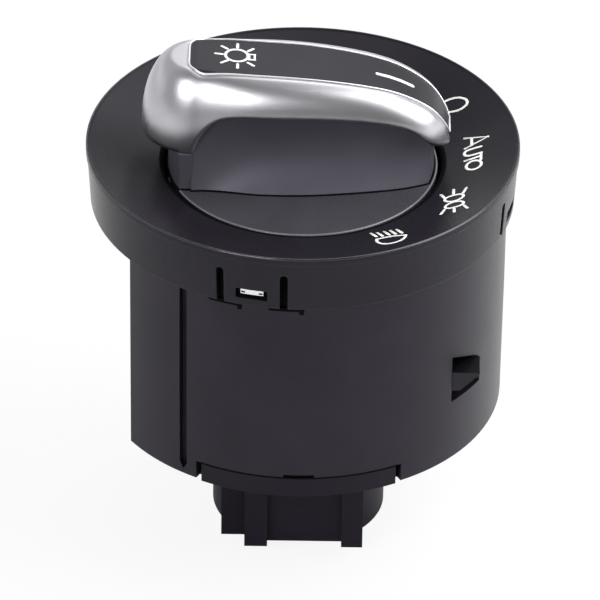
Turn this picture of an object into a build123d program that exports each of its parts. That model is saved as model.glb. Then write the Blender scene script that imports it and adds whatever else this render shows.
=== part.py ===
"""Rotary headlight switch for a dashboard: a round dished bezel, a turning and pushing knob bar, a cylindrical
housing with a retracting latch, and a plug connector on the rear cover.

Units are millimetres. The knob's axis is +Z, and z = 0 is the plane where the bezel's foot meets the panel.
+X is the side that the knob points to at AUTO, and -Y is the side that faces the viewer.
"""

import os
from math import asin, cos, degrees, radians, sin, sqrt

from build123d import *

# Bezel
BEZEL_TOP_Z = 11.0
BEZEL_BAND_H = 1.5
BEZEL_BAND_STEP = 0.22
BEZEL_EDGE = 0.35
DISH_W = 12.0
DISH_SLOPE = 0.305
DISH_WALL = 2.2
COLLAR_WALL = 1.6
SKIRT_TOP_T = 1.9
SKIRT_FOOT_T = 1.15
SKIRT_FIT = 0.1
STOP_RIB_W = 0.9
BORE_EDGE = 0.3

# Snap clips that hold the bezel on the housing
CLIP_AZ = (-103.1, -13.1, 76.9)
CLIP_SLIT_AZ = 8.6
CLIP_SLIT_W = 1.4
CLIP_SLIT_TOP = 7.2
CLIP_WINDOW_W = 5.7
CLIP_WINDOW_LOW = 1.4
CLIP_WINDOW_H = 2.1
CATCH_SIDE_GAP = 0.9
CATCH_H = 1.0
CATCH_PROUD = 0.95
FOOT_SLOT_W = 6.3
FOOT_SLOT_H = 0.55
FOOT_SLOT_SHIFT = 0.35
FOOT_NOTCH = 0.9

# Housing
HOUSING_WALL = 1.8
HEAD_ROOM = 0.8
LAND_H = 18.4
LAND_RELIEF = 0.5
HOUSING_DRAFT = 0.12
FLAT_DEPTH = 6.5
GROOVE_AZ = -124.2
GROOVE_W = 1.6
GROOVE_DEPTH = 1.2
GROOVE_ABOVE_EDGE = 1.0
GROOVE_POINT = 1.4
NOTCH_AZ = -90.0
NOTCH_HALF_AZ = 29.9
NOTCH_H = 3.7
NOTCH_POCKET_HALF_AZ = 4.3
NOTCH_POCKET_H = 0.6

# Ledges and bosses inside the housing
LEDGE_W = 1.6
LEDGE_H = 1.6
PLATE_SCREW_AZ = (-65.0, 45.0, 135.0, -135.0)
PLATE_BOSS_R = 3.2
PLATE_BOSS_H = 8.6

# Bearing plate under the bezel
PLATE_TOP = -5.0
PLATE_T = 2.4
INNER_FIT = 0.2
BOSS_WALL = 2.4
BOSS_LOW = -13.0
GUIDE_POST_AZ = (-20.0, 70.0, -150.0)
GUIDE_POST_R = 1.8

# Light guide ring with two legs down to the board
RING_FIT = 0.8
RING_LOW = 1.0
RING_T = 2.4
LEG_AZ = (90.0, -90.0)
LEG_INSET = 0.2
LEG_R = 1.8
LEG_HOLE_FIT = 0.4
LED_GAP = 0.4

# Turning part: disc, hub and shaft
DISC_FIT = 0.7
DISC_SET = 0.23
DISC_SKIN = 1.6
DISC_EDGE = 0.35
FOOT_GAP = 0.3
PUSH_GAP = 0.4
HUB_WALL = 1.54
RUN_FIT = 0.05
SHOULDER_Z = -19.4
SHAFT_STEP = 1.0
SHAFT_END_R = 5.0
SHAFT_END_GAP = 0.5
LIGHT_BORE_R = 2.4
STEM_SIDE = 7.8
STEM_FIT = 0.1
SEAT_DEPTH = 0.8

# Detent cam, plunger and turn stops
CAM_R = 13.0
CAM_GAP = 0.1
TURN_STEP = 30.0
TURN_LOW = -60.0
TURN_HIGH = 30.0
PLUNGER_AZ = 60.0
PLUNGER_R = 1.25
PLUNGER_FIT = 0.05
PLUNGER_TRAVEL = 0.9
PLUNGER_GAP = 0.1
PLUNGER_L = 5.4
NOTCH_R = 1.7
NOTCH_OVER = 0.2
GUIDE_BLOCK_W = 6.0
GUIDE_BLOCK_AIR = 2.2
GUIDE_BLOCK_GAP = 0.5
GUIDE_BLOCK_END = 1.2
GUIDE_BLOCK_FIT = 0.8
STOP_AZ = 225.0
STOP_TOOTH_L = 3.5
STOP_TOOTH_W = 3.2
STOP_POST_AIR = 1.2
STOP_POST_SIDE = 4.0
STOP_SPARE_AZ = 1.0

# Knob bar
KNOB_TRAVEL = 2.5
FOOT_SINK = 1.5
FOOT_LEFT_FIT = 0.1
FOOT_RIGHT_FIT = 0.7
FOOT_SIDE_H = 1.6
PILLAR_HALF = 10.0
PILLAR_LAP = 0.2
WAIST_Z = 14.0
SCOOP_LAP = 1.0
# x, half width at the foot, at the waist and under the trim
SCOOP_STATIONS = (
    (-19.9, 10.5, 9.5, 9.9),
    (-17.6, 10.3, 8.5, 9.9),
    (-14.0, 10.6, 7.9, 10.1),
    (-8.0, 11.5, 7.6, 10.3),
    (0.5, 11.55, 7.4, 10.3),
    (9.4, 10.5, 6.9, 9.8),
    (16.9, 9.1, 6.2, 9.0),
    (21.0, 7.7, 5.7, 7.6),
    (24.5, 6.0, 5.9, 5.6),
)
BAR_LOW_Z = 12.0
# x, half width of the side, half width of the flat top, top height, height where the side starts to round
BAR_STATIONS = (
    (-19.0, 9.9, 4.9, 28.7, 16.0),
    (-9.0, 10.6, 6.2, 28.0, 20.6),
    (0.0, 10.6, 6.4, 27.4, 21.3),
    (9.3, 10.1, 6.1, 26.1, 20.7),
    (16.0, 9.4, 5.6, 24.4, 19.3),
    (20.6, 8.3, 5.0, 22.1, 17.2),
    (23.3, 6.9, 4.4, 19.9, 15.2),
    (25.1, 4.9, 3.6, 17.3, 13.7),
    (26.2, 3.1, 2.5, 14.9, 12.9),
)
SHOULDER_PULL = 0.5
SHOULDER_DROP = 0.05
FLAT_TOP_SHARE = 0.85
TRIM_WALL = 1.3
TRIM_FIT = 0.1
# side view of the trim's lower edge from the knob's rounded end to its tip
TRIM_EDGE = (
    (-19.6, 14.0),
    (-18.5, 17.0),
    (-17.0, 19.3),
    (-15.2, 20.8),
    (-12.5, 21.6),
    (-6.9, 21.8),
    (0.3, 21.7),
    (9.1, 21.2),
    (15.9, 19.9),
    (20.4, 17.5),
    (22.7, 15.0),
    (25.8, 13.1),
    (30.0, 12.2),
)
INLAY_LEFT = -20.4
INLAY_HALF = 5.9
INLAY_CORNER = 3.2
# x, and how much narrower each half of the inlay is there, towards the pointer's tip
INLAY_TAPER = ((0.0, 0.0), (9.3, 0.4), (16.0, 0.9), (21.0, 1.5), (25.0, 2.5), (27.0, 3.5))
INLAY_T = 1.1
INLAY_FIT = 0.1
CORE_POCKET_X = (7.0, 18.0)
CORE_POCKET_HALF = 4.6
CORE_POCKET_TOP = 19.0
PIPE_R = 1.5
PIPE_FIT = 0.1
PIPE_GAP = 0.2

# Release plate on the shaft and latch slide
RELEASE_RIM = 2.3
RELEASE_T = 1.6
RELEASE_GAP = 0.4
PEG_R = 2.0
PEG_X = -16.0
PEG_GAP = 0.3
PEG_ABOVE = 0.5
LATCH_TRAVEL = 4.4
CROSSBAR_HALF = 4.0
ARM_DROP = 1.2
ARM_T = 3.9
ARM_SIDE = 0.9
ARM_FIT = 0.4
HOOK_IN_Y = 18.9
HOOK_W = 5.4
HOOK_PROUD = 0.49
HOOK_TIP_T = 0.25
HOOK_SLOPE_L = 3.5
WINDOW_IN_FIT = 1.2
WINDOW_OUT_FIT = 0.65
WINDOW_BELOW = 2.1
WINDOW_ABOVE = 3.7
WINDOW_TOP_FIT = 0.3

# Latch guide plate
GUIDE_AIR = 2.2
GUIDE_T = 2.0
SLIDE_FIT = 0.1
GUIDE_BOSS_R = 9.0
GUIDE_BOSS_H = 2.0
RAIL_W = 1.8
RAIL_H = 3.2
RAIL_X = (-9.0, 20.0)
ABUTMENT_AIR = 1.7
ABUTMENT_T = 1.4
ABUTMENT_HALF = 15.0
LATCH_SPRING_Y = 9.0
LATCH_SPRING_BORE_R = 1.9
LATCH_SPRING_POCKET = 6.0
LATCH_SPRING_R = 1.35
LATCH_SPRING_WIRE_R = 0.2

# Springs
KNOB_SPRING_SPACE = 6.2
KNOB_SPRING_R = 2.9
KNOB_SPRING_WIRE_R = 0.3
DETENT_SPRING_SPACE = 4.5
DETENT_SPRING_R = 0.85
DETENT_SPRING_WIRE_R = 0.15
SPRING_END_GAP = 0.05

# Wiper carrier, contacts and retaining clip
CARRIER_RIM = 1.3
CARRIER_T = 1.5
CARRIER_GAP = 0.2
WIPER_PCR = (10.0, 13.0)
WIPER_AZ = (20.0, 140.0, 260.0)
WIPER_W = 1.4
WIPER_L = 5.0
WIPER_T = 0.3
WIPER_AIR = 0.1
WIPER_SPACE = 1.7
CLIP_R = 7.5
CLIP_T = 0.6

# Circuit board and what is on it
BOARD_T = 1.6
BOARD_AIR = 2.2
BOARD_FLAT_GAP = 1.2
LED_SIDE = 2.8
LED_H = 1.9
CHIP_SIDE = 9.0
CHIP_H = 1.6
CHIP_AIR = 1.2
CHIP_Y = 6.0
CAPACITOR_R = 2.4
CAPACITOR_H = 3.4
CAPACITOR_AIR = 0.4
CAPACITOR_AZ = (150.0, 165.0, -165.0)
CAPACITOR_EDGE = 8.5
RESISTOR_SIZE = (3.2, 1.6, 0.7)
RESISTOR_AZ = (25.0, 35.0, 45.0, 55.0, -35.0, -45.0, -55.0)
RESISTOR_EDGE = 5.5

# Rear cover with the connector
COVER_T = 2.05
COVER_PROUD = 0.45
COVER_FIT = 0.2
SECTOR_SIDE_AZ = 1.5
SECTOR_SET = 0.3
SECTOR_TOP_GAP = 0.15
COVER_SCREW_AZ = (0.0, 120.0, -120.0)
COVER_POST_R = 3.3
COVER_POST_EDGE = 2.7
COVER_HEAD_SINK = 0.3
SPIGOT_WALL = 1.8
SPIGOT_L = 26.45
SPIGOT_EDGE = 0.5
SHROUD_SHORT = 2.7
SHROUD_LEFT_IN = 1.8
SHROUD_RIGHT_IN = 4.0
SHROUD_SIDE_OUT = 0.1
SHROUD_FRONT_OUT = 1.9
SHROUD_RIB_OUT = 3.7
SHROUD_STEP_W = 4.3
SHROUD_RIB_LEFT_W = 4.2
SHROUD_RIB_RIGHT_W = 3.9
SHROUD_BACK_Y = -5.0
KEY_W = 2.0
KEY_H = 1.6

# Terminal pins
PIN_COLUMNS = 5
PIN_PITCH = 4.5
PIN_ROW_Y = 7.6
PIN_W = 2.2
PIN_T = 0.8
PIN_AIR = 1.22
PIN_SHORT = 7.9
PIN_FIT = 0.05
PIN_POINT = 1.0

# Screws
SCREW_R = 1.25
SCREW_HOLE_FIT = 0.2
SCREW_PILOT_FIT = 0.05
SCREW_HEAD_R = 2.3
SCREW_HEAD_H = 1.6
SCREW_L = 7.0
SCREW_DRIVE_R = 0.9
SCREW_DRIVE_DEPTH = 0.9

# Radii, from the knob's stem and the detent outwards
HUB_R = (STEM_SIDE / 2 + STEM_FIT) * sqrt(2) + HUB_WALL
SHAFT_R = HUB_R - SHAFT_STEP
GUIDE_BLOCK_IN = CAM_R + GUIDE_BLOCK_AIR
GUIDE_BLOCK_OUT = CAM_R + PLUNGER_GAP + PLUNGER_L + DETENT_SPRING_SPACE + GUIDE_BLOCK_END
STOP_POST_IN = CAM_R + STOP_POST_AIR
BEZEL_BORE_R = GUIDE_BLOCK_OUT + GUIDE_BLOCK_FIT
DISC_R = BEZEL_BORE_R - DISC_FIT
FOOT_LEFT_R = DISC_R - FOOT_LEFT_FIT
FOOT_RIGHT_R = DISC_R - FOOT_RIGHT_FIT
HOUSING_R = BEZEL_BORE_R + DISH_W
NECK_R = HOUSING_R - LAND_RELIEF
SKIRT_IN_R = HOUSING_R + SKIRT_FIT
BEZEL_TOP_R = SKIRT_IN_R + SKIRT_TOP_T
BEZEL_FOOT_R = SKIRT_IN_R + SKIRT_FOOT_T
INNER_R = HOUSING_R - HOUSING_WALL
FLAT_X = FLAT_DEPTH - HOUSING_R
FLAT_IN_X = FLAT_X + HOUSING_WALL
RING_R_IN = BEZEL_BORE_R + COLLAR_WALL + RING_FIT
RING_R_OUT = INNER_R - RING_FIT
LEG_PCR = RING_R_IN + LEG_INSET + LEG_R
GUIDE_POST_PCR = (RING_R_IN + RING_R_OUT) / 2
PLATE_SCREW_PCR = INNER_R - PLATE_BOSS_R
GUIDE_R = INNER_R - GUIDE_AIR
COVER_SCREW_PCR = GUIDE_R - COVER_POST_EDGE - COVER_POST_R
BOARD_R = INNER_R - BOARD_AIR
CHIP_X = COVER_SCREW_PCR - COVER_POST_R - CHIP_AIR - CHIP_SIDE / 2
SECTOR_R = HOUSING_R - SECTOR_SET
SECTOR_HALF_AZ = NOTCH_HALF_AZ - SECTOR_SIDE_AZ
CARRIER_R = WIPER_PCR[-1] + WIPER_W / 2 + CARRIER_RIM
SCREW_HOLE_R = SCREW_R + SCREW_HOLE_FIT
SCREW_PILOT_R = SCREW_R + SCREW_PILOT_FIT

# Knob
END_X = BAR_STATIONS[0][0]
BAR_TOP_Z = BAR_STATIONS[0][3]
PILLAR_X = SCOOP_STATIONS[0][0] + PILLAR_LAP
SCOOP_TOP_Z = max(z for x, z in TRIM_EDGE) + SCOOP_LAP

# Latch slide and its windows
RELEASE_SLOT_IN = -PEG_X - PEG_R - PEG_GAP
RELEASE_SLOT_OUT = -PEG_X + LATCH_TRAVEL + PEG_R + PEG_GAP
RELEASE_R = RELEASE_SLOT_OUT + RELEASE_RIM
CROSSBAR_X = (PEG_X - CROSSBAR_HALF, PEG_X + CROSSBAR_HALF)
ABUTMENT_X = (FLAT_IN_X + ABUTMENT_AIR, FLAT_IN_X + ABUTMENT_AIR + ABUTMENT_T)
HOOK_OUT_Y = HOOK_IN_Y + HOOK_W
HOOK_TIP_X = sqrt(HOUSING_R**2 - HOOK_IN_Y**2) + HOOK_PROUD
HOOK_HEEL_X = HOOK_TIP_X - HOOK_SLOPE_L
ARM_END_X = sqrt(INNER_R**2 - (HOOK_OUT_Y + ARM_SIDE) ** 2) - ARM_FIT
WINDOW_Y = (HOOK_IN_Y - WINDOW_IN_FIT, HOOK_OUT_Y + WINDOW_OUT_FIT)

# Heights above the plate, from the dish down to the knob's floor
BORE_TOP_Z = BEZEL_TOP_Z - (BEZEL_TOP_R - BEZEL_BORE_R) * DISH_SLOPE
HOUSING_HIGH = BEZEL_TOP_Z - (BEZEL_TOP_R + FLAT_X) * DISH_SLOPE - DISH_WALL - HEAD_ROOM
DISC_TOP = BORE_TOP_Z - DISC_SET
FOOT_LOW = DISC_TOP - FOOT_SINK
DISC_FLOOR_TOP = FOOT_LOW - KNOB_TRAVEL - PUSH_GAP
DISC_UNDER = DISC_FLOOR_TOP - DISC_SKIN
CAM_LOW = PLATE_TOP + CAM_GAP
PLUNGER_Z = (PLATE_TOP + DISC_UNDER - GUIDE_BLOCK_GAP) / 2
PLATE_LOW = PLATE_TOP - PLATE_T

# Heights below the plate, from the shaft's shoulder down to the connector
SPRING_SEAT_Z = SHOULDER_Z - SEAT_DEPTH
STEM_LOW = SPRING_SEAT_Z + KNOB_SPRING_SPACE
CROSSBAR_TOP = SHOULDER_Z - RELEASE_T - RELEASE_GAP
ARM_TOP = CROSSBAR_TOP - ARM_DROP
SLIDE_LOW = ARM_TOP - ARM_T
WINDOW_LOW = SLIDE_LOW - WINDOW_BELOW
WINDOW_TOP = ARM_TOP + WINDOW_ABOVE
WINDOW_TOP_IN = ARM_TOP + WINDOW_TOP_FIT
GUIDE_TOP = SLIDE_LOW - SLIDE_FIT
GUIDE_LOW = GUIDE_TOP - GUIDE_T
GUIDE_BOSS_LOW = GUIDE_LOW - GUIDE_BOSS_H
CARRIER_TOP = GUIDE_BOSS_LOW - CARRIER_GAP
CARRIER_LOW = CARRIER_TOP - CARRIER_T
BOARD_TOP = CARRIER_LOW - WIPER_SPACE
SHAFT_LOW = BOARD_TOP + SHAFT_END_GAP
BOARD_LOW = BOARD_TOP - BOARD_T
COVER_TOP = BOARD_LOW - CAPACITOR_H - CAPACITOR_AIR
COVER_LOW = COVER_TOP - COVER_T
COVER_HEAD_DEPTH = SCREW_HEAD_H + COVER_HEAD_SINK
HOUSING_LOW = COVER_LOW + COVER_PROUD
GROOVE_LOW = HOUSING_LOW + GROOVE_ABOVE_EDGE

# Connector round the pins
PIN_REACH = (PIN_COLUMNS - 1) / 2 * PIN_PITCH + PIN_W / 2
SPIGOT_R = sqrt(PIN_REACH**2 + (PIN_ROW_Y + PIN_T / 2) ** 2) + PIN_AIR + SPIGOT_WALL
SPIGOT_LOW = COVER_LOW - SPIGOT_L
PIN_LOW = SPIGOT_LOW + PIN_SHORT
SHROUD_LOW = SPIGOT_LOW + SHROUD_SHORT
SHROUD_LEFT = SHROUD_LEFT_IN - SPIGOT_R
SHROUD_RIGHT = SPIGOT_R - SHROUD_RIGHT_IN
SHROUD_STEP_X = SHROUD_LEFT + SHROUD_STEP_W
SHROUD_SIDE_Y = -SPIGOT_R - SHROUD_SIDE_OUT
SHROUD_FRONT_Y = -SPIGOT_R - SHROUD_FRONT_OUT
SHROUD_RIB_Y = -SPIGOT_R - SHROUD_RIB_OUT
SHROUD_RIBS = (
    (SHROUD_STEP_X, SHROUD_STEP_X + SHROUD_RIB_LEFT_W),
    (SHROUD_RIGHT - SHROUD_RIB_RIGHT_W, SHROUD_RIGHT),
)
BOTTOM_ALIGN = (Align.CENTER, Align.CENTER, Align.MIN)


def disc(radius, low, high):
    return Pos(0, 0, low) * Cylinder(radius, high - low, align=BOTTOM_ALIGN)


def tube(outer, inner, low, high):
    return disc(outer, low, high) - disc(inner, low - 1, high + 1)


def block(x_span, y_span, z_span):
    size = [high - low for low, high in (x_span, y_span, z_span)]
    middle = [(high + low) / 2 for low, high in (x_span, y_span, z_span)]
    return Pos(*middle) * Box(*size)


def polar(radius, azimuth, z=0.0):
    return Rot(0, 0, azimuth) * Pos(radius, 0, z)


def post(radius, place_r, azimuth, low, high):
    return polar(place_r, azimuth) * disc(radius, low, high)


def prism(face, low, high):
    return extrude(Pos(0, 0, low) * face, high - low, dir=(0, 0, 1))


def sector(azimuth, half_angle, reach, low, high):
    """A wedge about the axis, as far out as reach."""
    side = reach / cos(radians(half_angle))
    corner = [(side * cos(radians(a)), side * sin(radians(a))) for a in (-half_angle, half_angle)]
    return Rot(0, 0, azimuth) * prism(make_face(Polyline((0, 0), *corner, close=True)), low, high)


def beyond_flat(x, low, high):
    """All that lies on the far side of a flat at x."""
    reach = 2 * BEZEL_TOP_R
    return block((x - reach, x), (-reach, reach), (low, high))


def coil(radius, wire_r, length, turns):
    """A compression spring that stands on z = 0."""
    pitch = (length - 2 * wire_r) / turns
    path = Pos(0, 0, wire_r) * Helix(pitch, pitch * turns, radius)
    start = Plane(origin=path @ 0, z_dir=path % 0)
    return sweep(start * Circle(wire_r), path)


def screw(head_z, up):
    """A pan-head screw whose head seats at head_z; up is 1 when the head is above its shank."""
    head = disc(SCREW_HEAD_R, 0, SCREW_HEAD_H)
    head = chamfer(head.edges().group_by(Axis.Z)[-1], SCREW_HEAD_H / 4)
    shank = disc(SCREW_R, -SCREW_L, 0)
    shank = chamfer(shank.edges().group_by(Axis.Z)[0], SCREW_R / 3)
    drive = Pos(0, 0, SCREW_HEAD_H) * prism(RegularPolygon(SCREW_DRIVE_R, 6), -SCREW_DRIVE_DEPTH, 1)
    whole = head + shank - drive
    return Pos(0, 0, head_z) * (whole if up > 0 else Rot(180, 0, 0) * whole)


def half_plan(face, side):
    """The part of a plan view to the right of the axis, or to the left of it when side is -1."""
    reach = 2 * BEZEL_TOP_R
    return face & Pos(side * reach / 2, 0) * Rectangle(reach, 2 * reach)


def dish_z(radius):
    return BEZEL_TOP_Z - (BEZEL_TOP_R - radius) * DISH_SLOPE


def make_bezel():
    band_low = BEZEL_TOP_Z - BEZEL_BAND_H
    side_top_r = BEZEL_TOP_R - BEZEL_BAND_STEP
    collar_r = BEZEL_BORE_R + COLLAR_WALL
    outline = Polyline(
        (BEZEL_BORE_R, PLATE_TOP + CAM_GAP),
        (collar_r, PLATE_TOP + CAM_GAP),
        (collar_r, dish_z(collar_r) - DISH_WALL),
        (SKIRT_IN_R, dish_z(SKIRT_IN_R) - DISH_WALL),
        (SKIRT_IN_R, 0),
        (BEZEL_FOOT_R, 0),
        (side_top_r, band_low),
        (BEZEL_TOP_R, band_low),
        (BEZEL_TOP_R, BEZEL_TOP_Z - BEZEL_EDGE),
        (BEZEL_TOP_R - BEZEL_EDGE, BEZEL_TOP_Z),
        (BEZEL_TOP_R - 2 * BEZEL_EDGE, dish_z(BEZEL_TOP_R - 2 * BEZEL_EDGE)),
        (BEZEL_BORE_R + BORE_EDGE, dish_z(BEZEL_BORE_R + BORE_EDGE)),
        (BEZEL_BORE_R, dish_z(BEZEL_BORE_R) - BORE_EDGE),
        close=True,
    )
    bezel = revolve(Plane.XZ * make_face(outline), Axis.Z)
    rib_r = NECK_R - INNER_FIT
    bezel += tube(rib_r, rib_r - STOP_RIB_W, HOUSING_HIGH, dish_z(rib_r) - DISH_WALL / 2)
    through = (HOUSING_R - HOUSING_WALL / 2, BEZEL_TOP_R + 1)
    for azimuth in CLIP_AZ:
        for side in (-1, 1):
            slit = block(through, (-CLIP_SLIT_W / 2, CLIP_SLIT_W / 2), (-1, CLIP_SLIT_TOP))
            slit = fillet(slit.edges().filter_by(Axis.X).group_by(Axis.Z)[-1], CLIP_SLIT_W * 0.45)
            bezel -= Rot(0, 0, azimuth + side * CLIP_SLIT_AZ) * slit
        high = CLIP_WINDOW_LOW + CLIP_WINDOW_H
        window = block(through, (-CLIP_WINDOW_W / 2, CLIP_WINDOW_W / 2), (CLIP_WINDOW_LOW, high))
        bezel -= Rot(0, 0, azimuth) * window
    return bezel


def make_light_guide():
    guide = tube(RING_R_OUT, RING_R_IN, RING_LOW, RING_LOW + RING_T)
    guide -= beyond_flat(FLAT_IN_X + INNER_FIT, RING_LOW - 1, RING_LOW + RING_T + 1)
    for azimuth in LEG_AZ:
        guide += post(LEG_R, LEG_PCR, azimuth, BOARD_TOP + LED_H + LED_GAP, RING_LOW + RING_T)
    return guide


def latch_window(side):
    """The opening in the housing's wall that a hook of the latch slide comes out of."""
    inner, outer = WINDOW_Y
    slope = (outer - inner) / 6
    outline = Polyline(
        (outer, WINDOW_LOW),
        (outer, WINDOW_TOP),
        (inner + slope, WINDOW_TOP_IN),
        (inner, WINDOW_TOP_IN - slope),
        (inner, WINDOW_LOW),
        close=True,
    )
    face = Plane(origin=(HOOK_IN_Y, 0, 0), x_dir=(0, side, 0), z_dir=(side, 0, 0)) * make_face(outline)
    return extrude(face, HOUSING_R, dir=(1, 0, 0))


def make_housing():
    low_r = HOUSING_R - HOUSING_DRAFT
    outline = Polyline(
        (0, HOUSING_LOW),
        (low_r, HOUSING_LOW),
        (HOUSING_R, -LAND_H),
        (HOUSING_R, 0),
        (NECK_R, 0),
        (NECK_R, HOUSING_HIGH),
        (0, HOUSING_HIGH),
        close=True,
    )
    housing = revolve(Plane.XZ * make_face(outline), Axis.Z)
    housing -= beyond_flat(FLAT_X, HOUSING_LOW - 1, HOUSING_HIGH + 1)
    inside = disc(INNER_R, HOUSING_LOW - 1, HOUSING_HIGH + 1)
    housing -= inside - beyond_flat(FLAT_IN_X, HOUSING_LOW - 2, HOUSING_HIGH + 2)

    for ledge_top, ledge_r in ((PLATE_LOW, INNER_R - LEDGE_W), (GUIDE_LOW, GUIDE_R - LEDGE_W)):
        ledge = tube(INNER_R + HOUSING_WALL / 2, ledge_r, ledge_top - LEDGE_H, ledge_top)
        housing += ledge - beyond_flat(FLAT_IN_X - HOUSING_WALL / 2, HOUSING_LOW, HOUSING_HIGH)
    for azimuth in PLATE_SCREW_AZ:
        boss = post(PLATE_BOSS_R, PLATE_SCREW_PCR, azimuth, PLATE_LOW - PLATE_BOSS_H, PLATE_LOW)
        housing += boss & disc(INNER_R + HOUSING_WALL / 2, HOUSING_LOW, HOUSING_HIGH)
    for azimuth in PLATE_SCREW_AZ:
        housing -= post(SCREW_PILOT_R, PLATE_SCREW_PCR, azimuth, PLATE_LOW - PLATE_BOSS_H + 1, PLATE_LOW + 1)

    groove_half = GROOVE_W / 2
    groove = Polyline(
        (-groove_half, GROOVE_LOW + GROOVE_POINT),
        (0, GROOVE_LOW),
        (groove_half, GROOVE_LOW + GROOVE_POINT),
        (groove_half, CLIP_WINDOW_LOW),
        (-groove_half, CLIP_WINDOW_LOW),
        close=True,
    )
    floor = Plane(origin=(HOUSING_R - GROOVE_DEPTH, 0, 0), x_dir=(0, 1, 0), z_dir=(1, 0, 0))
    housing -= Rot(0, 0, GROOVE_AZ) * extrude(floor * make_face(groove), GROOVE_DEPTH + 1)

    below = HOUSING_LOW - 1
    notch_ring = tube(HOUSING_R + 1, INNER_R - 1, below, HOUSING_LOW + NOTCH_H)
    housing -= notch_ring & sector(NOTCH_AZ, NOTCH_HALF_AZ, HOUSING_R + 2, below, 0)
    pocket_ring = tube(HOUSING_R + 1, INNER_R - 1, below, HOUSING_LOW + NOTCH_H + NOTCH_POCKET_H)
    housing -= pocket_ring & sector(NOTCH_AZ, NOTCH_POCKET_HALF_AZ, HOUSING_R + 2, below, 0)
    for side in (-1, 1):
        housing -= latch_window(side)

    for azimuth in CLIP_AZ:
        catch = Polyline(
            (HOUSING_R - HOUSING_WALL / 2, 0),
            (HOUSING_R + CATCH_PROUD, 0),
            (HOUSING_R + CATCH_PROUD, CATCH_H / 3),
            (NECK_R, CATCH_H),
            (HOUSING_R - HOUSING_WALL / 2, CATCH_H),
            close=True,
        )
        high = CLIP_WINDOW_LOW + CLIP_WINDOW_H - SKIRT_FIT
        half = CLIP_WINDOW_W / 2 - CATCH_SIDE_GAP
        side_plane = Plane(origin=(0, half, high - CATCH_H), x_dir=(1, 0, 0), z_dir=(0, -1, 0))
        housing += Rot(0, 0, azimuth) * extrude(side_plane * make_face(catch), 2 * half)
        for side in (-1, 1):
            slot_az = azimuth + side * CLIP_SLIT_AZ + degrees(FOOT_SLOT_SHIFT / HOUSING_R)
            deep = (HOUSING_R - HOUSING_WALL / 2, HOUSING_R + 1)
            slot = block(deep, (-FOOT_SLOT_W / 2, FOOT_SLOT_W / 2), (-FOOT_SLOT_H, FOOT_SLOT_H))
            side_end = (FOOT_SLOT_W / 2 - FOOT_NOTCH, FOOT_SLOT_W / 2)
            drop = block(deep, side_end, (-FOOT_SLOT_H - FOOT_NOTCH, 0))
            housing -= Rot(0, 0, slot_az) * (slot + drop)
    return housing


def make_bearing_plate():
    plate = disc(INNER_R - INNER_FIT, PLATE_LOW, PLATE_TOP)
    plate -= beyond_flat(FLAT_IN_X + INNER_FIT, PLATE_LOW - 1, PLATE_TOP + 1)
    plate += disc(HUB_R + BOSS_WALL, BOSS_LOW, PLATE_TOP)
    for azimuth in GUIDE_POST_AZ:
        plate += post(GUIDE_POST_R, GUIDE_POST_PCR, azimuth, PLATE_TOP, RING_LOW)
    half = GUIDE_BLOCK_W / 2
    block_top = 2 * PLUNGER_Z - PLATE_TOP
    guide = block((GUIDE_BLOCK_IN, GUIDE_BLOCK_OUT), (-half, half), (PLATE_TOP, block_top))
    bore = Rot(0, 90, 0) * disc(PLUNGER_R + PLUNGER_FIT, CAM_R, GUIDE_BLOCK_OUT - GUIDE_BLOCK_END)
    plate += Rot(0, 0, PLUNGER_AZ) * guide
    plate -= Rot(0, 0, PLUNGER_AZ) * Pos(0, 0, PLUNGER_Z) * bore
    tooth_az = degrees(asin(STOP_TOOTH_W / 2 / CAM_R))
    half = STOP_POST_SIDE / 2
    away = tooth_az + degrees(asin(half / STOP_POST_IN)) + STOP_SPARE_AZ
    for azimuth in (STOP_AZ + TURN_LOW - away, STOP_AZ + TURN_HIGH + away):
        reach = (STOP_POST_IN, STOP_POST_IN + STOP_POST_SIDE)
        stop = block(reach, (-half, half), (PLATE_TOP, PLUNGER_Z + PLUNGER_R))
        plate += Rot(0, 0, azimuth) * stop
    plate -= disc(HUB_R + RUN_FIT, BOSS_LOW - 1, PLATE_TOP + 1)
    for azimuth in LEG_AZ:
        plate -= post(LEG_R + LEG_HOLE_FIT, LEG_PCR, azimuth, PLATE_LOW - 1, PLATE_TOP + 1)
    for azimuth in PLATE_SCREW_AZ:
        plate -= post(SCREW_HOLE_R, PLATE_SCREW_PCR, azimuth, PLATE_LOW - 1, PLATE_TOP + 1)
    return plate


def foot_outline(extra=0.0):
    """Plan of the knob's foot, grown by extra."""
    right = [(row[0], row[1] + extra) for row in smooth_rows(SCOOP_STATIONS)]
    left_x = -BEZEL_TOP_R
    edge = [(left_x, PILLAR_HALF + extra), (PILLAR_X, PILLAR_HALF + extra)]
    blade = make_face(Polyline(*right, *[(x, -y) for x, y in reversed(right)], close=True))
    pillar = Polyline(edge[0], edge[1], (edge[1][0], -edge[1][1]), (edge[0][0], -edge[0][1]), close=True)
    whole = blade + make_face(pillar)
    left_r = BEZEL_TOP_R if extra else FOOT_LEFT_R
    return whole & (half_plan(Circle(left_r), -1) + half_plan(Circle(FOOT_RIGHT_R + extra), 1))


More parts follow.
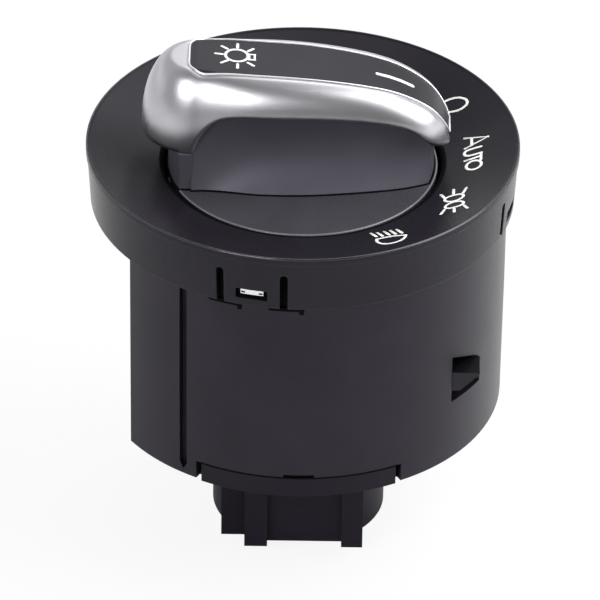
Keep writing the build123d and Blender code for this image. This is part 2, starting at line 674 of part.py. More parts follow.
def make_rotor():
    rotor = disc(DISC_R, DISC_UNDER, DISC_TOP)
    rotor = fillet(rotor.edges().group_by(Axis.Z)[-1], DISC_EDGE)
    hollow = Circle(DISC_R - DISC_SKIN) - foot_outline(FOOT_GAP + DISC_SKIN)
    rotor -= prism(foot_outline(FOOT_GAP), DISC_FLOOR_TOP, DISC_TOP + 1)
    rotor -= prism(hollow, DISC_UNDER - 1, DISC_TOP - DISC_SKIN)
    rotor += disc(CAM_R, CAM_LOW, DISC_FLOOR_TOP)
    half = STOP_TOOTH_W / 2
    tooth = block((0, CAM_R + STOP_TOOTH_L), (-half, half), (CAM_LOW, DISC_FLOOR_TOP))
    rotor += Rot(0, 0, STOP_AZ) * tooth
    rotor += disc(HUB_R, SHOULDER_Z, DISC_FLOOR_TOP)
    rotor += disc(SHAFT_R, GUIDE_BOSS_LOW, SHOULDER_Z)
    rotor += disc(SHAFT_END_R, SHAFT_LOW, GUIDE_BOSS_LOW)
    notch_place = CAM_R - PLUNGER_TRAVEL + PLUNGER_GAP - NOTCH_OVER + NOTCH_R
    angle = TURN_LOW
    while angle <= TURN_HIGH:
        notch_low = PLUNGER_Z - PLUNGER_R - 2 * PLUNGER_GAP
        rotor -= post(NOTCH_R, notch_place, PLUNGER_AZ - angle, notch_low, DISC_UNDER)
        angle += TURN_STEP
    side = STEM_SIDE + 2 * STEM_FIT
    rotor -= prism(Rectangle(side, side), SPRING_SEAT_Z, DISC_FLOOR_TOP + 1)
    rotor -= disc(LIGHT_BORE_R, SHAFT_LOW - 1, DISC_FLOOR_TOP)
    rotor -= tube(SHAFT_END_R + 1, SHAFT_END_R - CLIP_T, CARRIER_LOW - CLIP_T - WIPER_AIR, CARRIER_LOW)
    return rotor


def make_plunger():
    """Detent plunger with a round nose, standing just off the cam's crests."""
    nose_tip = CAM_R + PLUNGER_GAP
    body = Pos(0, 0, PLUNGER_R) * disc(PLUNGER_R, 0, PLUNGER_L - PLUNGER_R)
    body += Pos(0, 0, PLUNGER_R) * Sphere(PLUNGER_R)
    return Rot(0, 0, PLUNGER_AZ) * Pos(nose_tip, 0, PLUNGER_Z) * Rot(0, 90, 0) * body


def make_detent_spring():
    start = CAM_R + PLUNGER_GAP + PLUNGER_L + SPRING_END_GAP
    end = GUIDE_BLOCK_OUT - GUIDE_BLOCK_END - SPRING_END_GAP
    spring = coil(DETENT_SPRING_R, DETENT_SPRING_WIRE_R, end - start, 6)
    return Rot(0, 0, PLUNGER_AZ) * Pos(start, 0, PLUNGER_Z) * Rot(0, 90, 0) * spring


def smooth_rows(rows):
    """A table with one row put in between each two, on a smooth curve through all rows."""
    slopes = []
    for i in range(len(rows)):
        before, after = rows[max(i - 1, 0)], rows[min(i + 1, len(rows) - 1)]
        slopes.append([(b - a) / (after[0] - before[0]) for a, b in zip(before, after)])
    finer = [list(rows[0])]
    for i in range(len(rows) - 1):
        step = rows[i + 1][0] - rows[i][0]
        ends = zip(rows[i], rows[i + 1], slopes[i], slopes[i + 1])
        finer.append([(a + b) / 2 + (m - n) * step / 8 for a, b, m, n in ends])
        finer.append(list(rows[i + 1]))
    return finer


def bar_section(station, inset, whole=True):
    """Cross-section of the knob bar in the plane of constant x."""
    x, side, top, top_z, round_z = station
    side -= inset
    top = min(top - inset / 2, side * FLAT_TOP_SHARE)
    top_z -= inset
    rise = top_z - round_z
    shoulder = [
        (side, round_z),
        (side, round_z + rise * SHOULDER_PULL),
        (top + (side - top) * SHOULDER_PULL, top_z - rise * SHOULDER_DROP),
        (top, top_z),
    ]
    plane = Plane(origin=(x, 0, 0), x_dir=(0, 1, 0), z_dir=(1, 0, 0))
    lines = Bezier(*shoulder) + Line((side, BAR_LOW_Z), (side, round_z))
    if whole:
        lines += Bezier(*[(-y, z) for y, z in shoulder]) + Line((-side, BAR_LOW_Z), (-side, round_z))
        lines += Line((-top, top_z), (top, top_z)) + Line((-side, BAR_LOW_Z), (side, BAR_LOW_Z))
    else:
        lines += Line((0, top_z), (top, top_z)) + Line((0, BAR_LOW_Z), (side, BAR_LOW_Z))
        lines += Line((0, BAR_LOW_Z), (0, top_z))
    return plane * make_face(Wire(lines.edges()))


def knob_bar(inset=0.0):
    """The knob's upper form: a round end, and a body that narrows and drops to the pointer's tip."""
    stations = smooth_rows(BAR_STATIONS)
    tip_x = stations[-1][0]
    for station in stations:
        station[0] -= inset * max(station[0], 0) / tip_x
    body = loft([bar_section(s, inset) for s in stations])
    axis = Axis((END_X, 0, 0), (0, 0, 1))
    end = revolve(bar_section(stations[0], inset, whole=False), axis, 180)
    return body + end


def trim_side(drop=0.0):
    """Everything below the trim's lower edge, lowered by drop."""
    points = [(x, z - drop) for x, z in TRIM_EDGE]
    far_left = -BEZEL_TOP_R
    low = -BEZEL_TOP_Z
    lines = Line((far_left, low), (far_left, points[0][1])) + Line((far_left, points[0][1]), points[0])
    lines += Spline(*points)
    lines += Line(points[-1], (points[-1][0], low)) + Line((points[-1][0], low), (far_left, low))
    side_plane = Plane(origin=(0, BEZEL_FOOT_R, 0), x_dir=(1, 0, 0), z_dir=(0, -1, 0))
    return extrude(side_plane * make_face(Wire(lines.edges())), 2 * BEZEL_FOOT_R, dir=(0, -1, 0))


def inlay_outline(extra=0.0):
    half = INLAY_HALF + extra
    left = INLAY_LEFT - extra
    taper = [(x, half - narrower) for x, narrower in INLAY_TAPER]
    body = Pos((left + taper[0][0]) / 2, 0) * Rectangle(taper[0][0] - left, 2 * half)
    body = fillet(body.vertices().group_by(Axis.X)[0], INLAY_CORNER)
    lines = Spline(*taper) + Spline(*[(x, -y) for x, y in taper])
    lines += Line(taper[0], (taper[0][0], -taper[0][1])) + Line(taper[-1], (taper[-1][0], -taper[-1][1]))
    return body + make_face(Wire(lines.edges()))


def make_trim():
    trim = knob_bar() - knob_bar(TRIM_WALL)
    trim -= trim_side()
    return trim - prism(inlay_outline(INLAY_FIT), BAR_LOW_Z, BAR_TOP_Z + 1)


def make_inlay():
    bar = knob_bar()
    inlay = bar & prism(inlay_outline(), BAR_LOW_Z, BAR_TOP_Z + 1)
    return inlay - Pos(-INLAY_T / 2, 0, -INLAY_T) * bar - trim_side()


def scoop_body():
    """The knob's lower body: a foot, a finger scoop on both sides, and a top that meets the trim."""
    sections = []
    for x, foot, waist, top in smooth_rows(SCOOP_STATIONS):
        side = [(foot, FOOT_LOW + FOOT_SIDE_H), (waist, WAIST_Z), (top, SCOOP_TOP_Z)]
        lines = Spline(*side) + Line((foot, FOOT_LOW), side[0])
        lines += Spline(*[(-y, z) for y, z in side]) + Line((-foot, FOOT_LOW), (-foot, side[0][1]))
        lines += Line((-foot, FOOT_LOW), (foot, FOOT_LOW)) + Line((-top, SCOOP_TOP_Z), (top, SCOOP_TOP_Z))
        plane = Plane(origin=(x, 0, 0), x_dir=(0, 1, 0), z_dir=(1, 0, 0))
        sections.append(plane * make_face(Wire(lines.edges())))
    body = loft(sections)
    pillar = block((-BEZEL_TOP_R, PILLAR_X), (-PILLAR_HALF, PILLAR_HALF), (FOOT_LOW, SCOOP_TOP_Z))
    round_ends = half_plan(Circle(FOOT_LEFT_R), -1) + half_plan(Circle(FOOT_RIGHT_R), 1)
    return (body + pillar) & prism(round_ends, FOOT_LOW, SCOOP_TOP_Z)


def make_core():
    core = scoop_body() & trim_side(TRIM_FIT)
    inside = knob_bar(TRIM_WALL + TRIM_FIT)
    core += inside - trim_side(TRIM_FIT + TRIM_WALL / 2)
    for side in (-1, 1):
        span = sorted((side * CORE_POCKET_X[0], side * CORE_POCKET_X[1]))
        half = CORE_POCKET_HALF
        core -= block(span, (-half, half), (FOOT_LOW - 1, CORE_POCKET_TOP))
    inlay_place = prism(inlay_outline(INLAY_FIT), BAR_LOW_Z, BAR_TOP_Z + 1)
    core -= inlay_place - Pos(-INLAY_T / 2, 0, -INLAY_T - INLAY_FIT) * knob_bar()
    core += prism(Rectangle(STEM_SIDE, STEM_SIDE), STEM_LOW, FOOT_LOW + 1)
    core -= disc(PIPE_R + PIPE_FIT, STEM_LOW - 1, BAR_TOP_Z)
    return core


def make_knob_light_pipe():
    top_over_axis = min(BAR_STATIONS, key=lambda station: abs(station[0]))[3]
    under_inlay = top_over_axis - INLAY_T - TRIM_WALL / 2
    return disc(PIPE_R, STEM_LOW + PIPE_GAP, under_inlay - PIPE_GAP)


def make_release_plate():
    """Plate on the shaft whose spiral slot draws the latch slide in past the end of the knob's turn."""
    plate_low = SHOULDER_Z - RELEASE_T
    plate = tube(RELEASE_R, SHAFT_R, plate_low, SHOULDER_Z)
    inner, outer = RELEASE_SLOT_IN, RELEASE_SLOT_OUT
    margin = degrees(asin((PEG_R + PEG_GAP) / inner))
    first = 180 - TURN_HIGH - margin
    last = 180 - TURN_LOW + margin
    slot = tube(outer, inner, plate_low - 1, SHOULDER_Z + 1)
    middle = (first + last) / 2
    plate -= slot & sector(middle, (last - first) / 2, outer + 1, plate_low - 1, SHOULDER_Z + 1)
    ramp_angle = 2 * margin
    ramp_in = (inner * cos(radians(first)), inner * sin(radians(first)))
    ramp_top = (outer * cos(radians(first)), outer * sin(radians(first)))
    tip = inner + LATCH_TRAVEL
    end = radians(first - ramp_angle)
    corners = [ramp_in, ramp_top, (outer * cos(end), outer * sin(end)), (tip * cos(end), tip * sin(end))]
    return plate - prism(make_face(Polyline(*corners, close=True)), plate_low - 1, SHOULDER_Z + 1)


def make_latch_slide():
    """One sliding frame with two hooks that come out through the housing's windows."""
    x_low, x_high = CROSSBAR_X
    reach = HOOK_OUT_Y + ARM_SIDE
    slide = block((x_low, x_high), (-HOOK_OUT_Y, HOOK_OUT_Y), (SLIDE_LOW, CROSSBAR_TOP))
    profile = Polyline(
        (ARM_END_X, SLIDE_LOW),
        (HOOK_HEEL_X, SLIDE_LOW),
        (HOOK_TIP_X, ARM_TOP - HOOK_TIP_T),
        (HOOK_TIP_X, ARM_TOP),
        (ARM_END_X, ARM_TOP),
        close=True,
    )
    for side in (-1, 1):
        spans = sorted((side * (HOOK_IN_Y - ARM_SIDE), side * reach))
        slide += block((x_high - 1, ARM_END_X), spans, (SLIDE_LOW, ARM_TOP))
        start = HOOK_OUT_Y if side > 0 else -HOOK_IN_Y
        plane = Plane(origin=(0, start, 0), x_dir=(1, 0, 0), z_dir=(0, -1, 0))
        slide += extrude(plane * make_face(profile), HOOK_W)
    slide += Pos(PEG_X, 0, 0) * disc(PEG_R, CROSSBAR_TOP, SHOULDER_Z + PEG_ABOVE)
    middle = (SLIDE_LOW + CROSSBAR_TOP) / 2
    for side in (-1, 1):
        bore = Rot(0, 90, 0) * disc(LATCH_SPRING_BORE_R, -1, LATCH_SPRING_POCKET)
        slide -= Pos(x_low, side * LATCH_SPRING_Y, middle) * bore
    return slide


def make_latch_springs():
    middle = (SLIDE_LOW + CROSSBAR_TOP) / 2
    start = ABUTMENT_X[1] + SPRING_END_GAP
    length = CROSSBAR_X[0] + LATCH_SPRING_POCKET - SPRING_END_GAP - start
    spring = Rot(0, 90, 0) * coil(LATCH_SPRING_R, LATCH_SPRING_WIRE_R, length, 7)
    return [Pos(start, side * LATCH_SPRING_Y, middle) * spring for side in (-1, 1)]


def make_latch_guide():
    guide = disc(GUIDE_R, GUIDE_LOW, GUIDE_TOP)
    guide -= beyond_flat(FLAT_IN_X + INNER_FIT, GUIDE_LOW - 1, GUIDE_TOP + 1)
    guide += disc(GUIDE_BOSS_R, GUIDE_BOSS_LOW, GUIDE_TOP)
    for azimuth in COVER_SCREW_AZ:
        guide += post(COVER_POST_R, COVER_SCREW_PCR, azimuth, BOARD_TOP, GUIDE_TOP)
    for side in (-1, 1):
        inner = HOOK_IN_Y - ARM_SIDE - SLIDE_FIT
        span = sorted((side * (inner - RAIL_W), side * inner))
        guide += block(RAIL_X, span, (GUIDE_LOW, GUIDE_TOP + RAIL_H))
    guide += block(ABUTMENT_X, (-ABUTMENT_HALF, ABUTMENT_HALF), (GUIDE_LOW, CROSSBAR_TOP))
    guide -= disc(SHAFT_R + RUN_FIT, GUIDE_BOSS_LOW - 1, GUIDE_TOP + 1)
    for azimuth in PLATE_SCREW_AZ:
        guide -= post(PLATE_BOSS_R + INNER_FIT, PLATE_SCREW_PCR, azimuth, GUIDE_LOW - 1, GUIDE_TOP + 1)
    for azimuth in LEG_AZ:
        guide -= post(LEG_R + LEG_HOLE_FIT, LEG_PCR, azimuth, GUIDE_LOW - 1, GUIDE_TOP + 1)
    for azimuth in COVER_SCREW_AZ:
        guide -= post(SCREW_PILOT_R, COVER_SCREW_PCR, azimuth, BOARD_TOP - 1, GUIDE_TOP - 1)
    return guide


def make_carrier():
    carrier = disc(GUIDE_BOSS_R, CARRIER_LOW, CARRIER_TOP)
    for azimuth in WIPER_AZ:
        arm = block((0, CARRIER_R + 1), (-WIPER_L / 2, WIPER_L / 2), (CARRIER_LOW, CARRIER_TOP))
        carrier += Rot(0, 0, azimuth) * arm
    carrier = carrier & disc(CARRIER_R, CARRIER_LOW, CARRIER_TOP)
    return carrier - disc(SHAFT_END_R, CARRIER_LOW - 1, CARRIER_TOP + 1)


def make_wipers():
    """Leaf contacts under the carrier, each bent down to a track and up again at its tip."""
    track = BOARD_TOP + WIPER_AIR
    half = WIPER_L / 2
    top = CARRIER_LOW
    leaf = Polyline(
        (-half, top),
        (-half, top - WIPER_T),
        (-half / 3, top - WIPER_T),
        (half * 0.6, track),
        (half * 0.8, track),
        (half, track + WIPER_T),
        (half, track + 2 * WIPER_T),
        (half * 0.7, track + WIPER_T),
        (-half / 3 + WIPER_T, top),
        close=True,
    )
    wipers = []
    for azimuth in WIPER_AZ:
        for radius in WIPER_PCR:
            plane = Plane(origin=(radius - WIPER_W / 2, 0, 0), x_dir=(0, 1, 0), z_dir=(1, 0, 0))
            wipers.append(Rot(0, 0, azimuth) * extrude(plane * make_face(leaf), WIPER_W))
    return wipers


def make_shaft_clip():
    high = CARRIER_LOW - WIPER_AIR / 2
    clip = tube(CLIP_R, SHAFT_END_R - CLIP_T + RUN_FIT, high - CLIP_T, high)
    gap = SHAFT_END_R
    return clip - block((0, CLIP_R + 1), (-gap / 2, gap / 2), (SHAFT_LOW, CARRIER_TOP))


def make_board():
    board = disc(BOARD_R, BOARD_LOW, BOARD_TOP)
    board -= beyond_flat(FLAT_IN_X + BOARD_FLAT_GAP, BOARD_LOW - 1, BOARD_TOP + 1)
    for azimuth in COVER_SCREW_AZ:
        board -= post(SCREW_HOLE_R, COVER_SCREW_PCR, azimuth, BOARD_LOW - 1, BOARD_TOP + 1)
    return board


def make_leds():
    lamp = Box(LED_SIDE, LED_SIDE, LED_H, align=BOTTOM_ALIGN)
    places = [Pos(0, 0, BOARD_TOP)] + [polar(LEG_PCR, azimuth, BOARD_TOP) for azimuth in LEG_AZ]
    return [place * lamp for place in places]


def make_chip():
    chip = Box(CHIP_SIDE, CHIP_SIDE, CHIP_H)
    chip = chamfer(chip.edges().group_by(Axis.Z)[0], CHIP_H / 5)
    return Pos(CHIP_X, CHIP_Y, BOARD_LOW - CHIP_H / 2) * chip


def make_capacitors():
    can = disc(CAPACITOR_R, -CAPACITOR_H, 0)
    can = fillet(can.edges().group_by(Axis.Z)[0], CAPACITOR_R / 6)
    return [polar(BOARD_R - CAPACITOR_EDGE, azimuth, BOARD_LOW) * can for azimuth in CAPACITOR_AZ]


def make_resistors():
    chip = Box(*RESISTOR_SIZE, align=BOTTOM_ALIGN)
    return [polar(BOARD_R - RESISTOR_EDGE, azimuth, BOARD_TOP) * chip for azimuth in RESISTOR_AZ]


def pin_places():
    columns = [(i - (PIN_COLUMNS - 1) / 2) * PIN_PITCH for i in range(PIN_COLUMNS)]
    return [(x, y) for y in (-PIN_ROW_Y, PIN_ROW_Y) for x in columns]


def make_pins():
    blade = block((-PIN_W / 2, PIN_W / 2), (-PIN_T / 2, PIN_T / 2), (PIN_LOW, BOARD_LOW))
    blade = chamfer(blade.faces().sort_by(Axis.Z)[0].edges().filter_by(Axis.Y), PIN_POINT / 2, PIN_POINT / 2)
    return [Pos(x, y, 0) * blade for x, y in pin_places()]


def make_rear_cover():
    floor_r = INNER_R - COVER_FIT
    cover = disc(floor_r, COVER_LOW, COVER_TOP)
    sector_top = HOUSING_LOW + NOTCH_H - SECTOR_TOP_GAP
    rim = tube(SECTOR_R, floor_r - HOUSING_WALL, COVER_LOW, sector_top)
    cover += rim & sector(NOTCH_AZ, SECTOR_HALF_AZ, HOUSING_R + 2, COVER_LOW - 1, 0)
    cover -= beyond_flat(FLAT_IN_X + COVER_FIT, COVER_LOW - 1, COVER_TOP + 1)
    for azimuth in COVER_SCREW_AZ:
        cover += post(COVER_POST_R, COVER_SCREW_PCR, azimuth, COVER_LOW, BOARD_LOW)

    spigot = disc(SPIGOT_R, SPIGOT_LOW, COVER_TOP)
    spigot = chamfer(spigot.edges().group_by(Axis.Z)[0], SPIGOT_EDGE)
    spans_z = (SHROUD_LOW, COVER_TOP)
    shroud = block((SHROUD_LEFT, SHROUD_RIGHT), (SHROUD_SIDE_Y, SHROUD_BACK_Y), spans_z)
    shroud += block((SHROUD_STEP_X, SHROUD_RIGHT), (SHROUD_FRONT_Y, SHROUD_BACK_Y), spans_z)
    for rib in SHROUD_RIBS:
        shroud += block(rib, (SHROUD_RIB_Y, SHROUD_BACK_Y), spans_z)
    cover += spigot + shroud

    bore = disc(SPIGOT_R - SPIGOT_WALL, SPIGOT_LOW - 1, COVER_LOW)
    inner_x = (SHROUD_STEP_X + SPIGOT_WALL, SHROUD_RIGHT - SPIGOT_WALL)
    bore += block(inner_x, (SHROUD_FRONT_Y + SPIGOT_WALL, 0), (SPIGOT_LOW - 1, COVER_LOW))
    cover -= bore
    key_reach = (SPIGOT_R - SPIGOT_WALL - KEY_H, SPIGOT_R - SPIGOT_WALL / 2)
    key = block((-KEY_W / 2, KEY_W / 2), key_reach, (SHROUD_LOW, COVER_LOW))
    cover += key
    for x, y in pin_places():
        half_w = PIN_W / 2 + PIN_FIT
        half_t = PIN_T / 2 + PIN_FIT
        cover -= block((x - half_w, x + half_w), (y - half_t, y + half_t), (COVER_LOW - 1, COVER_TOP + 1))
    head_seat = COVER_LOW + COVER_HEAD_DEPTH
    for azimuth in COVER_SCREW_AZ:
        cover -= post(SCREW_HEAD_R + INNER_FIT, COVER_SCREW_PCR, azimuth, COVER_LOW - 1, head_seat)
        cover -= post(SCREW_HOLE_R, COVER_SCREW_PCR, azimuth, COVER_LOW, BOARD_LOW + 1)
    return cover


def make_cover_screws():
    up = screw(COVER_LOW + COVER_HEAD_DEPTH, -1)
    return [polar(COVER_SCREW_PCR, azimuth) * up for azimuth in COVER_SCREW_AZ]


def make_plate_screws():
    down = screw(PLATE_TOP, 1)
    return [polar(PLATE_SCREW_PCR, azimuth) * down for azimuth in PLATE_SCREW_AZ]


def make_knob_spring():
    length = STEM_LOW - SPRING_SEAT_Z - 2 * SPRING_END_GAP
    return Pos(0, 0, SPRING_SEAT_Z + SPRING_END_GAP) * coil(KNOB_SPRING_R, KNOB_SPRING_WIRE_R, length, 5)


def save(name, shape):
    shapes = shape if isinstance(shape, list) else [shape]
    solids = [solid for one in shapes for solid in one.solids()]
    whole = solids[0] if len(solids) == 1 else Compound(children=solids)
    whole.label = name
    export_step(whole, os.path.join("parts", name + ".step"))
    print(f"{name}: {len(solids)} solid(s), {sum(s.volume for s in solids):.0f} mm3")


def main():
    os.makedirs("parts", exist_ok=True)
    save("bezel", make_bezel())
    save("light_guide", make_light_guide())
    save("housing", make_housing())
    save("bearing_plate", make_bearing_plate())
    save("plate_screws", make_plate_screws())
    save("latch_guide", make_latch_guide())
    save("latch_slide", make_latch_slide())
    save("latch_springs", make_latch_springs())
    save("release_plate", make_release_plate())
    save("rotor", make_rotor())
    save("detent_plunger", make_plunger())
    save("detent_spring", make_detent_spring())
    save("wiper_carrier", make_carrier())
    save("wiper_contacts", make_wipers())
    save("shaft_clip", make_shaft_clip())
    save("circuit_board", make_board())
    save("controller_chip", make_chip())
    save("capacitors", make_capacitors())
    save("resistors", make_resistors())
    save("leds", make_leds())
    save("terminal_pins", make_pins())
    save("rear_cover", make_rear_cover())
    save("cover_screws", make_cover_screws())
    save("knob_core", make_core())
    save("knob_trim", make_trim())
    save("knob_inlay", make_inlay())
    save("knob_light_pipe", make_knob_light_pipe())
    save("knob_spring", make_knob_spring())


main()
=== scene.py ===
from math import cos, pi, radians, sin

import bmesh
import bpy
from mathutils import Matrix, Vector
from mathutils.bvhtree import BVHTree


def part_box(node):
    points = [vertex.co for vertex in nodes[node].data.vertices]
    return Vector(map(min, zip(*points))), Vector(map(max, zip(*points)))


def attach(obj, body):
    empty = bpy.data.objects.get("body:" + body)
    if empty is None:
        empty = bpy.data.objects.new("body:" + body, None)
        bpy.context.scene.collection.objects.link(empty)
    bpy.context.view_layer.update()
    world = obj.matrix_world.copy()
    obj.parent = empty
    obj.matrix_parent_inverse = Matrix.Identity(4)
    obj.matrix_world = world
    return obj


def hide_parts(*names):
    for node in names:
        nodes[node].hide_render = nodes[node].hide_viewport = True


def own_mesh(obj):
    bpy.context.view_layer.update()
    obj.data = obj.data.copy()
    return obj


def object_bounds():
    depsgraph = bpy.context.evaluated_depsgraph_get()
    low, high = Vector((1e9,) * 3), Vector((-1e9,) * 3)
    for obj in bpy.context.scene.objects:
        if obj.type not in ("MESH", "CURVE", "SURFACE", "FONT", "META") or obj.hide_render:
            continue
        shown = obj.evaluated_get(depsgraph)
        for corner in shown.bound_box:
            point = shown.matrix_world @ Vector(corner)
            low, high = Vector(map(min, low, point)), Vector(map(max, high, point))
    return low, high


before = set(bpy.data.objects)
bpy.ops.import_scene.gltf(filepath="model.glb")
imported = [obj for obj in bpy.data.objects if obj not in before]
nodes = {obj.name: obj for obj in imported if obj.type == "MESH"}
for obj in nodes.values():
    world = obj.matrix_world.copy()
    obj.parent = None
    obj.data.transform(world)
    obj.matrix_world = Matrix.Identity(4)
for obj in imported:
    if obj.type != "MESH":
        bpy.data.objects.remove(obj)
cad_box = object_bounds()

# Camera. The switch is seen from the front and a third of the way up, through a long lens,
# with the picture turned a little clockwise.
MM = 0.001
CAMERA_PLACE = Vector((-0.15, -909.5, 589.3)) * MM
CAMERA_DOWN = radians(33.98)
CAMERA_ROLL = radians(0.78)
CAMERA_LENS = 360
CAMERA_SENSOR = 36
CAMERA_CLIP = (0.05, 10)

camera = bpy.data.objects.new("camera", bpy.data.cameras.new("camera"))
bpy.context.scene.collection.objects.link(camera)
camera.data.lens = CAMERA_LENS
camera.data.sensor_width = CAMERA_SENSOR
camera.data.clip_start, camera.data.clip_end = CAMERA_CLIP
turned = Matrix.Rotation(pi / 2 - CAMERA_DOWN, 4, "X") @ Matrix.Rotation(CAMERA_ROLL, 4, "Z")
camera.matrix_world = Matrix.Translation(CAMERA_PLACE) @ turned
bpy.context.scene.camera = camera
bpy.context.scene.view_settings.view_transform = "Standard"


# Studio. A white table in a pale room, which is darker on the camera's side and has a low white
# cloth hung behind and on the left. A tall soft lamp stands on the right, a small one in front on
# the left, and a weak one hangs above, behind on the right.

# Each lamp with its place and its width and height in millimetres, and its power in watts.
LAMPS = (
    ("lamp_right", (600, -90, 480), (600, 900), 8.0),
    ("lamp_front_left", (-300, -570, 330), (330, 220), 2.6),
    ("lamp_above", (154, 423, 536), (500, 400), 1.2),
)
LAMP_AIM = Vector((0, 0, -10)) * MM

# The room brightens from front to back, and its bright side leans to the left. The cloth fades out
# between two heights. Directions and heights run from -1 to 1, and a light of 1 is white.
ROOM_FRONT = 0.16
ROOM_BACK = 0.62
ROOM_LEAN = -0.4
ROOM_EDGE = (-0.5, 0.6)
CLOTH_LIGHT = 0.5
CLOTH_TOP = (0.12, 0.32)
CLOTH_EDGE = (0, 0.6)

# The table is square, in metres. It ends 340 mm in front of the switch, where the room's dark side
# shows in the gloss, and it lies a hair below the switch, so that their faces don't meet.
TABLE_HALF = 1.2
TABLE_FRONT = 0.34
TABLE_DROP = 0.05 * MM
TABLE_GLOW = 0.88


def linear(colour):
    """An sRGB hex colour as linear red, green, blue and alpha."""
    parts = [int(colour[i : i + 2], 16) / 255 for i in (1, 3, 5)]
    return [p / 12.92 if p <= 0.04045 else ((p + 0.055) / 1.055) ** 2.4 for p in parts] + [1]


def add(tree, kind, values=None, links=None, **settings):
    """A new node, with its settings, its sockets' values and what feeds its sockets."""
    node = tree.nodes.new(kind)
    for key, value in settings.items():
        setattr(node, key, value)
    for socket, value in (values or {}).items():
        node.inputs[socket].default_value = value
    for socket, source in (links or {}).items():
        tree.links.new(source, node.inputs[socket])
    return node


world = bpy.data.worlds.new("white room")
bpy.context.scene.world = world
world.use_nodes = True
room = world.node_tree
room.nodes.clear()
rays = add(room, "ShaderNodeLightPath")
way = add(room, "ShaderNodeSeparateXYZ", links={0: add(room, "ShaderNodeTexCoord").outputs["Generated"]})
behind = add(room, "ShaderNodeMath", {1: ROOM_LEAN}, {0: way.outputs["X"], 2: way.outputs["Y"]},
             operation="MULTIPLY_ADD")
depth = add(room, "ShaderNodeMapRange",
            {"From Min": ROOM_EDGE[0], "From Max": ROOM_EDGE[1], "To Min": ROOM_FRONT, "To Max": ROOM_BACK},
            {"Value": behind.outputs[0]}, interpolation_type="SMOOTHSTEP")
cloth = add(room, "ShaderNodeMapRange",
            {"From Min": CLOTH_TOP[1], "From Max": CLOTH_TOP[0], "To Min": 0, "To Max": 1},
            {"Value": way.outputs["Z"]}, interpolation_type="SMOOTHSTEP")
hung = add(room, "ShaderNodeMapRange",
           {"From Min": CLOTH_EDGE[0], "From Max": CLOTH_EDGE[1], "To Min": 0, "To Max": CLOTH_LIGHT},
           {"Value": behind.outputs[0]}, interpolation_type="SMOOTHSTEP")
level = add(room, "ShaderNodeMath", links={0: cloth.outputs[0], 1: hung.outputs[0], 2: depth.outputs[0]},
            operation="MULTIPLY_ADD")
light = add(room, "ShaderNodeBackground", {"Color": linear("#ffffff")}, {"Strength": level.outputs[0]})
shown = add(room, "ShaderNodeBackground", {"Color": linear("#ffffff"), "Strength": 1.0})
seen = add(room, "ShaderNodeMath", operation="MAXIMUM",
           links={0: rays.outputs["Is Camera Ray"], 1: rays.outputs["Is Transmission Ray"]})
mixed = add(room, "ShaderNodeMixShader", links={0: seen.outputs[0], 1: light.outputs[0], 2: shown.outputs[0]})
add(room, "ShaderNodeOutputWorld", links={"Surface": mixed.outputs[0]})

for name, place, size, power in LAMPS:
    lamp = bpy.data.objects.new(name, bpy.data.lights.new(name, "AREA"))
    bpy.context.scene.collection.objects.link(lamp)
    lamp.data.shape = "RECTANGLE"
    lamp.data.size, lamp.data.size_y = size[0] * MM, size[1] * MM
    lamp.data.energy = power
    lamp.location = Vector(place) * MM
    lamp.rotation_euler = (lamp.location - LAMP_AIM).to_track_quat("Z", "Y").to_euler()

paper = bpy.data.materials.new("white paper")
paper.use_nodes = True
tree = paper.node_tree
tree.nodes.clear()
rays = add(tree, "ShaderNodeLightPath")
matte = add(tree, "ShaderNodeBsdfDiffuse", {"Color": linear("#f4f4f4")})
glow = add(tree, "ShaderNodeEmission", {"Color": linear("#ffffff"), "Strength": 1.0})
share = add(tree, "ShaderNodeMath", {1: TABLE_GLOW}, {0: rays.outputs["Is Camera Ray"]}, operation="MULTIPLY")
lift = add(tree, "ShaderNodeMixShader", links={0: share.outputs[0], 1: matte.outputs[0], 2: glow.outputs[0]})
add(tree, "ShaderNodeOutputMaterial", links={"Surface": lift.outputs[0]})
table_mesh = bpy.data.meshes.new("table")
form = bmesh.new()
bmesh.ops.create_grid(form, x_segments=1, y_segments=1, size=TABLE_HALF)
bmesh.ops.translate(form, verts=form.verts, vec=(0, TABLE_HALF - TABLE_FRONT, cad_box[0].z - TABLE_DROP))
form.to_mesh(table_mesh)
form.free()
table = bpy.data.objects.new("table", table_mesh)
table_mesh.materials.append(paper)
bpy.context.scene.collection.objects.link(table)


# Housing. The drum that everything is built into, injection moulded in black glass-filled nylon.
# The tool is spark-eroded to a fine matte, and glass near the surface leaves a faint pale bloom,
# so the wall reads as a soft charcoal with a broad, dull sheen.

# The bloom tints the sheen of all the mouldings, and their gloss varies a little with the grain.
BLOOM = "#e2deee"
PLASTIC_IOR = 1.5
PLASTIC_SPREAD = 0.07
FLOW_WARP = 0.8
FLOW_TINT = (0.35, 0.75)


def blank(name):
    """A new material, with its node tree and its shader."""
    material = bpy.data.materials.new(name)
    material.use_nodes = True
    return material, material.node_tree, material.node_tree.nodes["Principled BSDF"]


